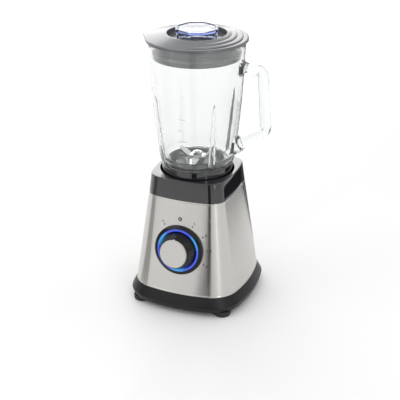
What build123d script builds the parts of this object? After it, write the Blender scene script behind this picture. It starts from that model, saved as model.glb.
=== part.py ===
from build123d import *
import os
from math import cos, hypot, radians, sin, sqrt

os.makedirs("parts", exist_ok=True)

# A countertop blender with a glass jug. Millimetres, +Z up. The origin is on the table, under
# the common axis of jug and motor. The knob faces -Y, the jug's handle +X and its lip -X.

# Clearances
fit_gap = 0.2            # between housings that push together
running_gap = 0.05       # radial, a shaft in a bush or bearing
motion_gap = 0.3         # between pieces that move past each other
screw_gap = 0.2          # radial, a screw in a clearance hole

# Levels of the base, from the table up
foot_height = 8
plinth_lip_rise = 8      # underside to the widest line of the plinth
plinth_slope_rise = 14   # widest line up to the steel
steel_height = 138
band_height = 28         # glossy top housing

# Plan of the base: a square with bowed faces and rounded corners
face_bow_radius = 230
band_flare = 3.5         # half-width gained down the band
steel_flare = 20.6       # half-width gained down the steel
plinth_ledge = 0.6       # plinth outside the foot of the steel
plinth_flare = 7.4       # half-width gained from ledge to lip
plinth_tuck = 2.5        # half-width lost from lip to underside
band_corner_radius = 22
steel_top_corner_radius = 23
steel_foot_corner_radius = 40
plinth_corner_radius = 45
steel_sheet = 0.8
plastic_wall = 2.5
locating_skirt = 8       # how far the housings reach inside the steel

# Well that the jug stands in
collar_thickness = 6.5   # neck to the outside of the collar
collar_height = 29.5
well_clearance = 1.2     # collar to well at the floor
well_draft = 1.3         # extra radius at the mouth
well_rim = 4.9           # land from the mouth to the middle of a face
well_depth = 20
well_cup_wall = 2
pad_height = 1.9
pad_radius = 2.5
pad_start_angle = 20     # pads stand between the keys and the pin
seat_gap = 0.1           # collar over its pads, before the rubber takes the load
key_width = 7
key_height = 5
key_depth = 3            # radial
key_gap = 0.5

# Glass jug
neck_radius = 44
neck_wall = 5.5
neck_lift = 12           # neck end above the foot of the collar
heel_swell = 4           # heel outside the shoulder
heel_rise = 9.4          # over the shoulder
heel_bulge = 1.6         # how far the heel is rounder than straight
shoulder_overlap = 1.0   # shoulder stays inside the collar's edge
shoulder_slope = 0.8
middle_swell = 7.5       # middle outside the heel
middle_rise = 75.4       # over the shoulder
brim_swell = 5.6         # brim outside the middle
brim_rise = 167.2
rim_flare = 0.8
rim_rise = 8
glass_wall = 4
thread_ridge = 0.8
thread_ridge_height = 2
rib_count = 4
rib_start_angle = 45
rib_foot_radius = 4.5
rib_tip_radius = 1.5
rib_rise = 92
lip_width_radius = 16
lip_reach = 8.5          # lip beyond the rim
lip_height = 30
grip_thickness = 13      # radial
grip_width = 18
grip_chamfer = 4
grip_bend_radius = 10
grip_top_drop = 33.5     # rim down to the middle of the top arm
grip_top_reach = 28.5    # rim out to the middle of the grip
grip_lean = 5.5          # grip further out at its foot
grip_length = 87
grip_root_drop = 147.5   # rim down to the root of the lower arm
root_flare = 4
root_flare_length = 12

# Collar and blade carrier
collar_wall = 3
collar_flange_height = 3
collar_flange_radius = 40
carrier_flange = 3
gasket_height = 2
carrier_gap = 1.0        # carrier dome inside the neck
carrier_wall = 2.5
carrier_rise = 14
hub_radius = 9
hub_rise = 5.5

# Blade unit
blade_shaft_radius = 4
bush_wall = 1.5
bush_length = 7
blade_thickness = 1.8
blade_width = 14
blade_tip_width = 7
blade_root = 11
blade_span_radius = 29
upper_wing_angle = 38
lower_wing_angle = -14
spacer_height = 1.2
spacer_radius = 7
nut_height = 4
nut_radius = 7
shaft_end = 1.5

# Drive dogs
dog_radius = 9
dog_tooth_count = 6
dog_tooth_reach = 3
dog_tooth_width = 4
dog_height = 9.5
dog_lift = 2.5           # dog over the well floor
dog_gap = 0.4
socket_radius = 17
socket_roof = 3

# Motor
shaft_radius = 4
seal_radius = 11
seal_flange_radius = 13
seal_height = 1.5
mount_boss_length = 13.5
mount_height = 6
mount_radius = 7
mount_inset = 1.7        # mounts inside the wall of the well
bracket_thickness = 6
bracket_hub_radius = 13
bracket_arm_width = 11
bearing_radius = 8
bearing_height = 7
bearing_race = 1.6
bolt_reach = 38.5
bolt_radius = 1.5
bolt_head_radius = 3
bolt_head_height = 2
spacer_post_radius = 4
stator_drop = 16         # bracket down to the laminations
stator_length = 40
stator_radius = 38.5
stator_ring = 4.5
stator_ear_radius = 4.5
armature_radius = 21.5
air_gap = 0.8
pole_shoe = 3
pole_half_width = 14
pole_shoe_half_angle = 50
coil_band = 7.5
coil_depth = 4.5
coil_end = 8             # coil beyond the laminations
slot_count = 12
slot_radius = 1.7
slot_reach = 18.2
winding_radius = 20
winding_end = 7
commutator_radius = 11
commutator_length = 14
commutator_drop = 5      # windings down to the commutator
commutator_bars = 12
bar_slit = 0.6
bar_slit_depth = 1
lower_bracket_drop = 36  # laminations down to the lower bracket
lower_plate_radius = 31
brush_width = 6
brush_height = 8
brush_length = 13
brush_gap = 0.15
brush_fit = 0.1
holder_wall = 1.5
holder_start = 13
holder_end = 31
holder_post = 5
spring_wire = 0.5
fan_drop = 6             # lower bracket down to the fan
fan_height = 11
fan_radius = 35
fan_hub_radius = 11
fan_blade_count = 11
fan_blade = 1.6
fan_back = 1.6
duct_clearance = 4
duct_wall = 2
duct_overlap = 3

# Bottom cover, feet and fasteners
cover_thickness = 3
foot_radius = 12.5
foot_inset = 27          # feet inside the widest line of the plinth
foot_draft = 1
foot_stem_radius = 4
foot_stem_height = 6
vent_count = 16
vent_rings = (14, 24, 34)
vent_length = 7
vent_width = 3
long_screw_inset = 7.7   # screws inside the wall of the well, along each side
long_screw_radius = 2
screw_head_radius = 4
screw_head_height = 2
boss_radius = 5
boss_drop = 14           # top bosses below the well floor
cover_screw_reach = 76
cover_screw_radius = 1.6
cover_boss_rise = 10
cover_screw_length = 10

# Cord gland, with no cord
gland_offset = -35
gland_rise = 11.5
gland_radius = 5.5
gland_flange_radius = 7.5
gland_flange = 2
gland_bore_radius = 3.5
gland_inner = 9
clamp_setback = 18
clamp_length = 26
clamp_width = 8
clamp_thickness = 3
clamp_screw_reach = 9
clamp_screw_radius = 1.5
capacitor_size = (26, 12, 18)
capacitor_spot = (28, 66)

# Knob group, on the front face
knob_rise = 66.8         # up the face from the foot of the steel
bezel_radius = 36.5
bezel_overlap = 2.5      # bezel over the edge of its hole
bezel_height = 4
bezel_crown = 5.3        # width of the sloping rim
bezel_depth = 8
bezel_floor = 2
bezel_floor_depth = 3
light_ring_width = 3
light_proud = 0.3
led_size = 3
led_count = 3
led_start_angle = 30
board_thickness = 1.6
board_bore_radius = 14
switch_size = 25
switch_depth = 16
bushing_radius = 4.5
switch_nut_radius = 7
switch_nut_height = 2
spindle_radius = 3
knob_base_radius = 26.6
knob_face_radius = 21.6
knob_height = 20
knob_lift = 2            # knob foot over the face plane
knob_foot_height = 3
knob_wall = 2
knob_hub_radius = 6
disc_radius = 20.5
disc_thickness = 0.8
pointer_width = 4
pointer_tip = 2.2

# Interlock that stops the motor when the jug is off
pin_radius = 2.5
pin_rise = 3
pin_length = 20
pin_flange_radius = 4.2
pin_flange_height = 2
pin_guide_radius = 5.5
microswitch_size = (20, 8, 10)
microswitch_leg = 4
interlock_wire = 0.6

# Lid
lid_overhang = 3.4
lid_edge = 3.7
lid_dome_rise = 6
lid_crown_radius = 41
lid_recess_depth = 8
lid_roof = 3.2
beak_length = 9.7        # beak beyond the round edge
beak_tip_radius = 4
beak_drop = 2.5
skirt_depth = 23
skirt_wall = 2.5
skirt_clearance = 2
lid_gasket_height = 5
lid_gasket_rise = 6
lid_gasket_gap = 1.0
# Steps on the handle side: (offset of the circle from the axis, lid's radius less its own, drop below crown)
lid_steps = ((-7.7, 16.1, 2.0), (-7.6, 8.7, 3.8), (-4.8, 3.0, 5.6))

# Filler cap
cap_sides = 8
cap_turn = -68           # one flat looks this way round from +X
cap_plug_radius = 24
cap_wall = 2.5
cap_foot_radius = 26.5
cap_top_radius = 28.9
cap_height = 15          # over the floor of the lid's recess
cap_corner_radius = 5
cap_plug_depth = 20
cap_rim_height = 1.0
cap_rim_width = 2.5

# Levels
plinth_z = foot_height
lip_z = plinth_z + plinth_lip_rise
steel_z = lip_z + plinth_slope_rise
band_z = steel_z + steel_height
base_top_z = band_z + band_height
well_floor_z = base_top_z - well_depth
floor_under_z = well_floor_z - plastic_wall
collar_z = well_floor_z + pad_height + seat_gap
collar_top_z = collar_z + collar_height
neck_z = collar_z + neck_lift
shoulder_z = collar_top_z + motion_gap
rim_z = shoulder_z + brim_rise + rim_rise
lid_z = rim_z + motion_gap

# Radii of the jug and its collar
collar_radius = neck_radius + collar_thickness
skirt_middle_radius = collar_radius - collar_wall / 2
shoulder_radius = collar_radius - shoulder_overlap
heel_radius = shoulder_radius + heel_swell
middle_radius = heel_radius + middle_swell
brim_radius = middle_radius + brim_swell

# Half-widths of the base at the middle of a face
well_floor_radius = collar_radius + well_clearance
well_mouth_radius = well_floor_radius + well_draft
base_top_half = well_mouth_radius + well_rim
steel_top_half = base_top_half + band_flare
steel_foot_half = steel_top_half + steel_flare
ledge_half = steel_foot_half + plinth_ledge
lip_half = ledge_half + plinth_flare
foot_reach = lip_half - foot_inset
underside_half = lip_half - plinth_tuck
liner_inset = steel_sheet + fit_gap


def bowed_square(level, half_width, corner_radius, inset=0):
    """Level outline of the base, drawn inset from the outer skin."""
    bow = face_bow_radius - inset
    half = half_width - inset
    reach = bow - half
    corner = (sqrt(2 * bow**2 - reach**2) - reach) / 2
    corners = [(corner, -corner), (corner, corner), (-corner, corner), (-corner, -corner)]
    middles = [(half, 0), (0, half), (-half, 0), (0, -half)]
    with BuildSketch(Plane.XY.offset(level)) as outline:
        with BuildLine():
            for index, middle in enumerate(middles):
                ThreePointArc(corners[index], middle, corners[(index + 1) % 4])
        make_face()
        fillet(outline.vertices(), radius=corner_radius - inset)
    return outline.sketch


def steel_outline(level, inset=0):
    """Outline of the steel at a level, or of what follows it on the inside."""
    drop = (band_z - level) / steel_height
    corner_radius = steel_top_corner_radius + drop * (steel_foot_corner_radius - steel_top_corner_radius)
    return bowed_square(level, steel_top_half + drop * steel_flare, corner_radius, inset)


def spun(points, plane=Plane.XZ, axis=Axis.Z, mode=Mode.ADD):
    """Turn a closed outline of (radius, height) points about an axis."""
    with BuildSketch(plane) as outline:
        with BuildLine():
            Polyline(*points, close=True)
        make_face()
    revolve(outline.sketch, axis=axis, mode=mode)


def tube(outer, inner, bottom, top, mode=Mode.ADD):
    """Round tube on the main axis, between two levels."""
    spun([(inner, bottom), (outer, bottom), (outer, top), (inner, top)], mode=mode)


def posts(radius, bottom, top, spots=((0, 0),), mode=Mode.ADD):
    """Round posts between two levels, one at each spot."""
    with Locations(*[(x, y, bottom) for x, y in spots]):
        Cylinder(radius, top - bottom, align=(Align.CENTER, Align.CENTER, Align.MIN), mode=mode)


def block(low, high, mode=Mode.ADD):
    """Box between two corners."""
    sides = [b - a for a, b in zip(low, high)]
    with Locations(low):
        Box(*sides, align=(Align.MIN, Align.MIN, Align.MIN), mode=mode)


def four_corners(reach):
    return [(reach, reach), (reach, -reach), (-reach, reach), (-reach, -reach)]


def around(reach, count, start=0):
    """Spots on a circle about the main axis."""
    turns = [radians(start + 360 * index / count) for index in range(count)]
    return [(reach * cos(turn), reach * sin(turn)) for turn in turns]


# ---------------------------------------------------------------- base shells

# Plane of the front face at its middle, with the knob's centre as origin
face_length = hypot(steel_flare, steel_height)
face_up = (0, steel_flare / face_length, steel_height / face_length)
face_out = (0, -face_up[2], face_up[1])
knob_centre = (0, -steel_foot_half + knob_rise * face_up[1], steel_z + knob_rise * face_up[2])
knob_plane = Plane(origin=knob_centre, x_dir=(1, 0, 0), z_dir=face_out)
knob_section = Plane(origin=knob_centre, x_dir=(1, 0, 0), z_dir=(0, -face_up[1], -face_up[2]))
knob_axis = Axis(origin=knob_centre, direction=face_out)
bezel_hole_radius = bezel_radius - bezel_overlap

with BuildPart() as steel_shroud:
    loft([
        steel_outline(steel_z),
        steel_outline(band_z),
    ])
    loft([
        steel_outline(steel_z, steel_sheet),
        steel_outline(band_z, steel_sheet),
    ], mode=Mode.SUBTRACT)
    with BuildSketch(knob_plane):
        Circle(bezel_hole_radius)
    extrude(amount=bezel_depth, both=True, mode=Mode.SUBTRACT)
steel_shroud.part.label = "steel_shroud"
export_step(steel_shroud.part, "parts/steel_shroud.step")

liner_wall_inset = liner_inset + plastic_wall
mount_reach = well_floor_radius - mount_inset
mount_spots = around(mount_reach, 4, 45)
long_screw_spots = four_corners(well_floor_radius - long_screw_inset)
pin_reach = skirt_middle_radius
pin_spot = (0, pin_reach)
boss_foot_z = floor_under_z - boss_drop
mount_boss_z = floor_under_z - mount_boss_length
key_reach = collar_radius - key_depth
pin_guide_z = floor_under_z - pin_rise - motion_gap

with BuildPart() as top_housing:
    loft([
        steel_outline(band_z),
        bowed_square(base_top_z, base_top_half, band_corner_radius),
    ])
    loft([
        steel_outline(band_z - locating_skirt, liner_inset),
        steel_outline(band_z, liner_inset),
    ])
    loft([
        steel_outline(band_z - locating_skirt, liner_wall_inset),
        steel_outline(band_z, liner_wall_inset),
    ], mode=Mode.SUBTRACT)
    loft([
        steel_outline(band_z, liner_wall_inset),
        bowed_square(base_top_z - plastic_wall, base_top_half, band_corner_radius, liner_wall_inset),
    ], mode=Mode.SUBTRACT)
    spun([
        (0, floor_under_z),
        (well_floor_radius + well_cup_wall, floor_under_z),
        (well_mouth_radius + well_cup_wall, base_top_z),
        (0, base_top_z),
    ])
    posts(boss_radius, boss_foot_z, base_top_z - plastic_wall / 2, long_screw_spots)
    posts(mount_radius, mount_boss_z, well_floor_z, mount_spots)
    posts(pin_guide_radius, pin_guide_z, well_floor_z, [pin_spot])
    spun([
        (0, well_floor_z),
        (well_floor_radius, well_floor_z),
        (well_mouth_radius, base_top_z),
        (0, base_top_z),
    ], mode=Mode.SUBTRACT)
    with PolarLocations(key_reach, 4, start_angle=45):
        with Locations((0, 0, well_floor_z)):
            Box(key_depth, key_width, key_height, align=(Align.MIN, Align.CENTER, Align.MIN))
    posts(seal_radius, floor_under_z, well_floor_z, mode=Mode.SUBTRACT)
    posts(pin_radius + running_gap, pin_guide_z, well_floor_z, [pin_spot], Mode.SUBTRACT)
    posts(long_screw_radius, boss_foot_z, well_floor_z - plastic_wall, long_screw_spots, Mode.SUBTRACT)
    posts(bolt_radius, mount_boss_z, floor_under_z, mount_spots, Mode.SUBTRACT)
    for side in (-1, 1):
        inner = side * (microswitch_size[0] / 2)
        outer = side * (microswitch_size[0] / 2 + microswitch_leg)
        block(
            (min(inner, outer), pin_reach - microswitch_size[1] / 2, floor_under_z - pin_length - pin_rise),
            (max(inner, outer), pin_reach + microswitch_size[1] / 2, floor_under_z),
        )
top_housing.part.label = "top_housing"
export_step(top_housing.part, "parts/top_housing.step")

cover_z = plinth_z
cover_top_z = cover_z + cover_thickness
cover_screw_spots = around(cover_screw_reach, 4)
gland_z = plinth_z + gland_rise
gland_drop = (gland_z - lip_z) / plinth_slope_rise * plinth_flare
gland_face_y = (
    sqrt(face_bow_radius**2 - gland_offset**2) - face_bow_radius + lip_half - gland_drop
)
gland_plane = Plane(origin=(gland_offset, gland_face_y, gland_z), x_dir=(1, 0, 0), z_dir=(0, 1, 0))

with BuildPart() as base_plinth:
    loft([
        bowed_square(plinth_z, underside_half, plinth_corner_radius),
        bowed_square(lip_z, lip_half, plinth_corner_radius),
        bowed_square(steel_z, ledge_half, steel_foot_corner_radius),
    ], ruled=True)
    loft([
        steel_outline(steel_z - plinth_slope_rise / 2, liner_inset),
        steel_outline(steel_z + locating_skirt, liner_inset),
    ])
    loft([
        bowed_square(plinth_z, underside_half, plinth_corner_radius, plastic_wall),
        bowed_square(lip_z, lip_half, plinth_corner_radius, plastic_wall),
        steel_outline(steel_z, liner_wall_inset),
        steel_outline(steel_z + locating_skirt, liner_wall_inset),
    ], ruled=True, mode=Mode.SUBTRACT)
    with PolarLocations(cover_screw_reach - boss_radius, 4):
        with Locations((0, 0, cover_top_z)):
            Box(
                underside_half - plastic_wall - cover_screw_reach + boss_radius,
                2 * boss_radius,
                cover_boss_rise,
                align=(Align.MIN, Align.CENTER, Align.MIN),
            )
    posts(cover_screw_radius, cover_top_z, cover_top_z + cover_boss_rise, cover_screw_spots, Mode.SUBTRACT)
    with BuildSketch(gland_plane):
        Circle(gland_radius)
    extrude(amount=-gland_inner, mode=Mode.SUBTRACT)
    block(
        (gland_offset - gland_flange_radius - fit_gap, gland_face_y, 0),
        (gland_offset + gland_flange_radius + fit_gap, gland_face_y + gland_inner, steel_z),
        Mode.SUBTRACT,
    )
base_plinth.part.label = "base_plinth"
export_step(base_plinth.part, "parts/base_plinth.step")

feet_spots = four_corners(foot_reach)
with BuildPart() as bottom_cover:
    add(bowed_square(cover_z, underside_half, plinth_corner_radius, plastic_wall + fit_gap))
    extrude(amount=cover_thickness)
    posts(foot_stem_radius, cover_z, cover_top_z, feet_spots, Mode.SUBTRACT)
    posts(long_screw_radius + screw_gap, cover_z, cover_top_z, long_screw_spots, Mode.SUBTRACT)
    posts(cover_screw_radius + screw_gap, cover_z, cover_top_z, cover_screw_spots, Mode.SUBTRACT)
    for ring_radius in vent_rings:
        count = round(vent_count * ring_radius / vent_rings[-1])
        with BuildSketch(Plane.XY.offset(cover_z)):
            with PolarLocations(ring_radius, count):
                SlotOverall(vent_length, vent_width)
        extrude(amount=cover_thickness, mode=Mode.SUBTRACT)
bottom_cover.part.label = "bottom_cover"
export_step(bottom_cover.part, "parts/bottom_cover.step")

with BuildPart() as rubber_feet:
    posts(foot_radius, 0, cover_z, feet_spots)
    chamfer(rubber_feet.edges().group_by(Axis.Z)[0], length=foot_draft)
    posts(foot_stem_radius, cover_z, cover_z + foot_stem_height, feet_spots)
rubber_feet.part.label = "rubber_feet"
export_step(rubber_feet.part, "parts/rubber_feet.step")

with BuildPart() as long_screws:
    posts(long_screw_radius, cover_z, floor_under_z - plastic_wall, long_screw_spots)
    posts(screw_head_radius, cover_z - screw_head_height, cover_z, long_screw_spots)
long_screws.part.label = "long_screws"
export_step(long_screws.part, "parts/long_screws.step")

with BuildPart() as cover_screws:
    posts(cover_screw_radius, cover_z, cover_z + cover_screw_length, cover_screw_spots)
    posts(screw_head_radius, cover_z - screw_head_height, cover_z, cover_screw_spots)
cover_screws.part.label = "cover_screws"
export_step(cover_screws.part, "parts/cover_screws.step")

# ---------------------------------------------------------------- cord entry

with BuildPart() as cord_gland:
    with BuildSketch(gland_plane.offset(-gland_inner)):
        Circle(gland_radius)
    extrude(amount=gland_inner + gland_flange)
    with BuildSketch(gland_plane):
        Circle(gland_flange_radius)
    extrude(amount=gland_flange)
    chamfer(cord_gland.faces().sort_by(Axis.Y)[-1].outer_wire().edges(), length=gland_flange / 2)
    with BuildSketch(gland_plane.offset(-gland_inner)):
        Circle(gland_bore_radius)
    extrude(amount=gland_inner + gland_flange, mode=Mode.SUBTRACT)
cord_gland.part.label = "cord_gland"
export_step(cord_gland.part, "parts/cord_gland.step")

clamp_y = gland_face_y - gland_inner - clamp_setback
clamp_top_z = gland_z - gland_bore_radius
clamp_spots = [(gland_offset - clamp_screw_reach, clamp_y), (gland_offset + clamp_screw_reach, clamp_y)]
with BuildPart() as cord_clamp:
    block(
        (gland_offset - clamp_length / 2, clamp_y - clamp_width / 2, cover_top_z),
        (gland_offset + clamp_length / 2, clamp_y + clamp_width / 2, cover_top_z + clamp_thickness),
    )
    block(
        (gland_offset - clamp_length / 2, clamp_y - clamp_width / 2, clamp_top_z + 2 * gland_bore_radius),
        (
            gland_offset + clamp_length / 2,
            clamp_y + clamp_width / 2,
            clamp_top_z + 2 * gland_bore_radius + clamp_thickness,
        ),
    )
    posts(clamp_screw_radius + clamp_thickness / 2, cover_top_z, clamp_top_z + 2 * gland_bore_radius, clamp_spots)
    posts(
        clamp_screw_radius,
        cover_top_z,
        clamp_top_z + 2 * gland_bore_radius + clamp_thickness,
        clamp_spots,
        Mode.SUBTRACT,
    )
cord_clamp.part.label = "cord_clamp"
export_step(cord_clamp.part, "parts/cord_clamp.step")

clamp_screw_top = clamp_top_z + 2 * gland_bore_radius + clamp_thickness
with BuildPart() as clamp_screws:
    posts(clamp_screw_radius, cover_top_z, clamp_screw_top, clamp_spots)
    posts(2 * clamp_screw_radius, clamp_screw_top, clamp_screw_top + screw_head_height, clamp_spots)
clamp_screws.part.label = "clamp_screws"
export_step(clamp_screws.part, "parts/clamp_screws.step")

with BuildPart() as suppression_capacitor:
    with Locations((capacitor_spot[0], capacitor_spot[1], cover_top_z)):
        Box(*capacitor_size, align=(Align.CENTER, Align.CENTER, Align.MIN))
    fillet(suppression_capacitor.edges().filter_by(Axis.Z), radius=fit_gap * 5)
suppression_capacitor.part.label = "suppression_capacitor"
export_step(suppression_capacitor.part, "parts/suppression_capacitor.step")

# ---------------------------------------------------------------- knob group

bezel_inner_radius = bezel_radius - bezel_crown - light_ring_width
plug_radius = bezel_hole_radius - fit_gap
ring_outer_radius = bezel_radius - bezel_crown

with BuildPart() as knob_bezel:
    spun([
        (ring_outer_radius, -bezel_depth),
        (bezel_radius, -bezel_depth),
        (bezel_radius, bezel_height / 4),
        (ring_outer_radius, bezel_height),
    ], knob_section, knob_axis)
    loft([
        steel_outline(steel_z),
        steel_outline(band_z),
    ], mode=Mode.SUBTRACT)
    spun([
        (ring_outer_radius, -bezel_depth),
        (plug_radius, -bezel_depth),
        (plug_radius, bezel_height / 4),
        (ring_outer_radius, bezel_height / 2),
    ], knob_section, knob_axis)
    spun([
        (bushing_radius + fit_gap, -bezel_floor_depth - bezel_floor),
        (plug_radius, -bezel_floor_depth - bezel_floor),
        (plug_radius, -bezel_floor_depth),
        (bushing_radius + fit_gap, -bezel_floor_depth),
    ], knob_section, knob_axis)
    with BuildSketch(knob_plane.offset(-bezel_floor_depth)):
        with PolarLocations(ring_outer_radius - light_ring_width / 2, led_count, start_angle=led_start_angle):
            Rectangle(led_size + fit_gap, led_size + fit_gap)
    extrude(amount=-bezel_floor, mode=Mode.SUBTRACT)
knob_bezel.part.label = "knob_bezel"
export_step(knob_bezel.part, "parts/knob_bezel.step")

with BuildPart() as light_ring:
    spun([
        (bezel_inner_radius, -bezel_floor_depth),
        (ring_outer_radius, -bezel_floor_depth),
        (ring_outer_radius, bezel_height),
        (ring_outer_radius - light_proud, bezel_height + light_proud),
        (bezel_inner_radius + light_proud, bezel_height + light_proud),
        (bezel_inner_radius, bezel_height),
    ], knob_section, knob_axis)
light_ring.part.label = "light_ring"
export_step(light_ring.part, "parts/light_ring.step")

led_back = -bezel_floor_depth - bezel_floor
with BuildPart() as ring_leds:
    with BuildSketch(knob_plane.offset(led_back)):
        with PolarLocations(ring_outer_radius - light_ring_width / 2, led_count, start_angle=led_start_angle):
            Rectangle(led_size, led_size)
    extrude(amount=bezel_floor)
ring_leds.part.label = "ring_leds"
export_step(ring_leds.part, "parts/ring_leds.step")

with BuildPart() as led_board:
    with BuildSketch(knob_plane.offset(led_back)):
        Circle(ring_outer_radius - fit_gap)
        Circle(board_bore_radius, mode=Mode.SUBTRACT)
    extrude(amount=-board_thickness)
led_board.part.label = "led_board"
export_step(led_board.part, "parts/led_board.step")

switch_front = led_back - board_thickness
with BuildPart() as switch_body:
    with BuildSketch(knob_plane.offset(switch_front - switch_depth)):
        Rectangle(switch_size, switch_size)
        fillet(vertices(), radius=knob_wall)
    extrude(amount=switch_depth)
    with BuildSketch(knob_plane.offset(switch_front)):
        Circle(bushing_radius)
    extrude(amount=switch_nut_height - bezel_floor_depth - switch_front)
    with BuildSketch(knob_plane.offset(switch_front - switch_depth + knob_wall)):
        Circle(spindle_radius + running_gap)
    extrude(amount=2 * switch_depth, mode=Mode.SUBTRACT)
switch_body.part.label = "switch_body"
export_step(switch_body.part, "parts/switch_body.step")

with BuildPart() as switch_nut:
    with BuildSketch(knob_plane.offset(-bezel_floor_depth)):
        RegularPolygon(switch_nut_radius, 6)
        Circle(bushing_radius, mode=Mode.SUBTRACT)
    extrude(amount=switch_nut_height)
switch_nut.part.label = "switch_nut"
export_step(switch_nut.part, "parts/switch_nut.step")

knob_top = knob_height - disc_thickness
spindle_top = knob_top - knob_wall - disc_thickness
with BuildPart() as switch_spindle:
    with BuildSketch(knob_plane.offset(switch_front - switch_depth + 2 * knob_wall)):
        Circle(spindle_radius)
    extrude(amount=spindle_top - switch_front + switch_depth - 2 * knob_wall)
switch_spindle.part.label = "switch_spindle"
export_step(switch_spindle.part, "parts/switch_spindle.step")

with BuildPart() as knob_body:
    spun([
        (0, knob_lift),
        (knob_base_radius, knob_lift),
        (knob_base_radius, knob_lift + knob_foot_height),
        (knob_face_radius, knob_height - disc_thickness),
        (disc_radius + fit_gap, knob_height),
        (disc_radius + fit_gap, knob_top),
        (0, knob_top),
    ], knob_section, knob_axis)
    spun([
        (knob_hub_radius, knob_lift),
        (knob_base_radius - knob_wall, knob_lift),
        (knob_base_radius - knob_wall, knob_lift + knob_foot_height - knob_wall / 2),
        (knob_face_radius - knob_wall, knob_top - knob_wall),
        (knob_hub_radius, knob_top - knob_wall),
    ], knob_section, knob_axis, Mode.SUBTRACT)
    with BuildSketch(knob_plane.offset(knob_lift)):
        Circle(spindle_radius)
    extrude(amount=spindle_top - knob_lift, mode=Mode.SUBTRACT)
    with BuildSketch(Plane(origin=knob_centre, x_dir=face_up, z_dir=(1, 0, 0))):
        with BuildLine():
            Polyline(
                (knob_base_radius - knob_wall / 2, knob_lift),
                (knob_base_radius, knob_lift + knob_foot_height),
                (knob_face_radius + knob_wall, knob_height - disc_thickness),
                (knob_face_radius + pointer_tip / 2, knob_height),
                (disc_radius + pointer_tip, knob_height),
                (disc_radius + pointer_tip, knob_top),
                (disc_radius - knob_wall, knob_top),
                (disc_radius - knob_wall, knob_top - knob_wall),
                close=True,
            )
        make_face()
    extrude(amount=pointer_width / 2, both=True)
    with BuildSketch(knob_plane.offset(knob_top)):
        with Locations((0, disc_radius)):
            Rectangle(2 * pointer_tip, 2 * pointer_tip)
    extrude(amount=disc_thickness, mode=Mode.SUBTRACT)
knob_body.part.label = "knob_body"
export_step(knob_body.part, "parts/knob_body.step")

with BuildPart() as knob_cap:
    with BuildSketch(knob_plane.offset(knob_top)):
        Circle(disc_radius)
        with BuildLine():
            Polyline(
                (-pointer_tip, disc_radius - pointer_tip),
                (pointer_tip, disc_radius - pointer_tip),
                (0, disc_radius + pointer_tip / 2),
                close=True,
            )
        make_face()
    extrude(amount=disc_thickness)
    chamfer(knob_cap.faces().sort_by(knob_axis)[-1].edges(), length=fit_gap)
knob_cap.part.label = "knob_cap"
export_step(knob_cap.part, "parts/knob_cap.step")

# ---------------------------------------------------------------- seat and interlock

pad_spots = around(skirt_middle_radius, 4, pad_start_angle)
with BuildPart() as seat_pads:
    posts(pad_radius, well_floor_z, well_floor_z + pad_height, pad_spots)
seat_pads.part.label = "seat_pads"
export_step(seat_pads.part, "parts/seat_pads.step")

with BuildPart() as shaft_seal:
    tube(seal_radius, shaft_radius + running_gap, floor_under_z, well_floor_z)
    tube(seal_flange_radius, shaft_radius + running_gap, well_floor_z, well_floor_z + seal_height)
shaft_seal.part.label = "shaft_seal"
export_step(shaft_seal.part, "parts/shaft_seal.step")

pin_top_z = collar_z - seat_gap
pin_foot_z = pin_top_z - pin_length
flange_top_z = pin_guide_z - pin_rise - motion_gap
spring_top_z = flange_top_z - pin_flange_height
microswitch_top_z = pin_foot_z - motion_gap
with BuildPart() as interlock_pin:
    posts(pin_radius, pin_foot_z, pin_top_z, [pin_spot])
    posts(pin_flange_radius, spring_top_z, flange_top_z, [pin_spot])
    fillet(interlock_pin.edges().sort_by(Axis.Z)[-1], radius=pin_radius / 3)
interlock_pin.part.label = "interlock_pin"
export_step(interlock_pin.part, "parts/interlock_pin.step")

with BuildPart() as interlock_switch:
    with Locations((0, pin_reach, microswitch_top_z)):
        Box(*microswitch_size, align=(Align.CENTER, Align.CENTER, Align.MAX))
interlock_switch.part.label = "interlock_switch"
export_step(interlock_switch.part, "parts/interlock_switch.step")

spring_radius = (pin_radius + pin_flange_radius) / 2
interlock_coil_height = spring_top_z - microswitch_top_z - 2 * interlock_wire
with BuildPart() as interlock_spring:
    with BuildLine() as coil:
        Helix(
            pitch=interlock_coil_height / 4,
            height=interlock_coil_height,
            radius=spring_radius,
            center=(0, pin_reach, microswitch_top_z + interlock_wire),
        )
    with BuildSketch(Plane(origin=coil.line @ 0, z_dir=coil.line % 0)):
        Circle(interlock_wire / 2)
    sweep(path=coil.line)
interlock_spring.part.label = "interlock_spring"
export_step(interlock_spring.part, "parts/interlock_spring.step")

# ---------------------------------------------------------------- motor frame

bracket_top_z = mount_boss_z - mount_height
bracket_z = bracket_top_z - bracket_thickness
stator_top_z = bracket_z - stator_drop
stator_z = stator_top_z - stator_length
lower_bracket_top_z = stator_z - lower_bracket_drop + bracket_thickness
lower_bracket_z = lower_bracket_top_z - bracket_thickness
bolt_spots = around(bolt_reach, 4, 45)
bolt_foot_z = lower_bracket_z - bolt_head_height
arm_length = bolt_reach + spacer_post_radius

with BuildPart() as motor_mounts:
    posts(mount_radius, bracket_top_z, mount_boss_z, mount_spots)
    fillet(motor_mounts.edges().filter_by(GeomType.CIRCLE), radius=mount_height / 6)
    posts(bolt_radius + screw_gap, bracket_top_z, mount_boss_z, mount_spots, Mode.SUBTRACT)
motor_mounts.part.label = "motor_mounts"
export_step(motor_mounts.part, "parts/motor_mounts.step")

with BuildPart() as mount_screws:
    posts(bolt_radius, bracket_z, floor_under_z - plastic_wall, mount_spots)
    posts(bolt_head_radius, bracket_z - bolt_head_height, bracket_z, mount_spots)
mount_screws.part.label = "mount_screws"
export_step(mount_screws.part, "parts/mount_screws.step")

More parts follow.
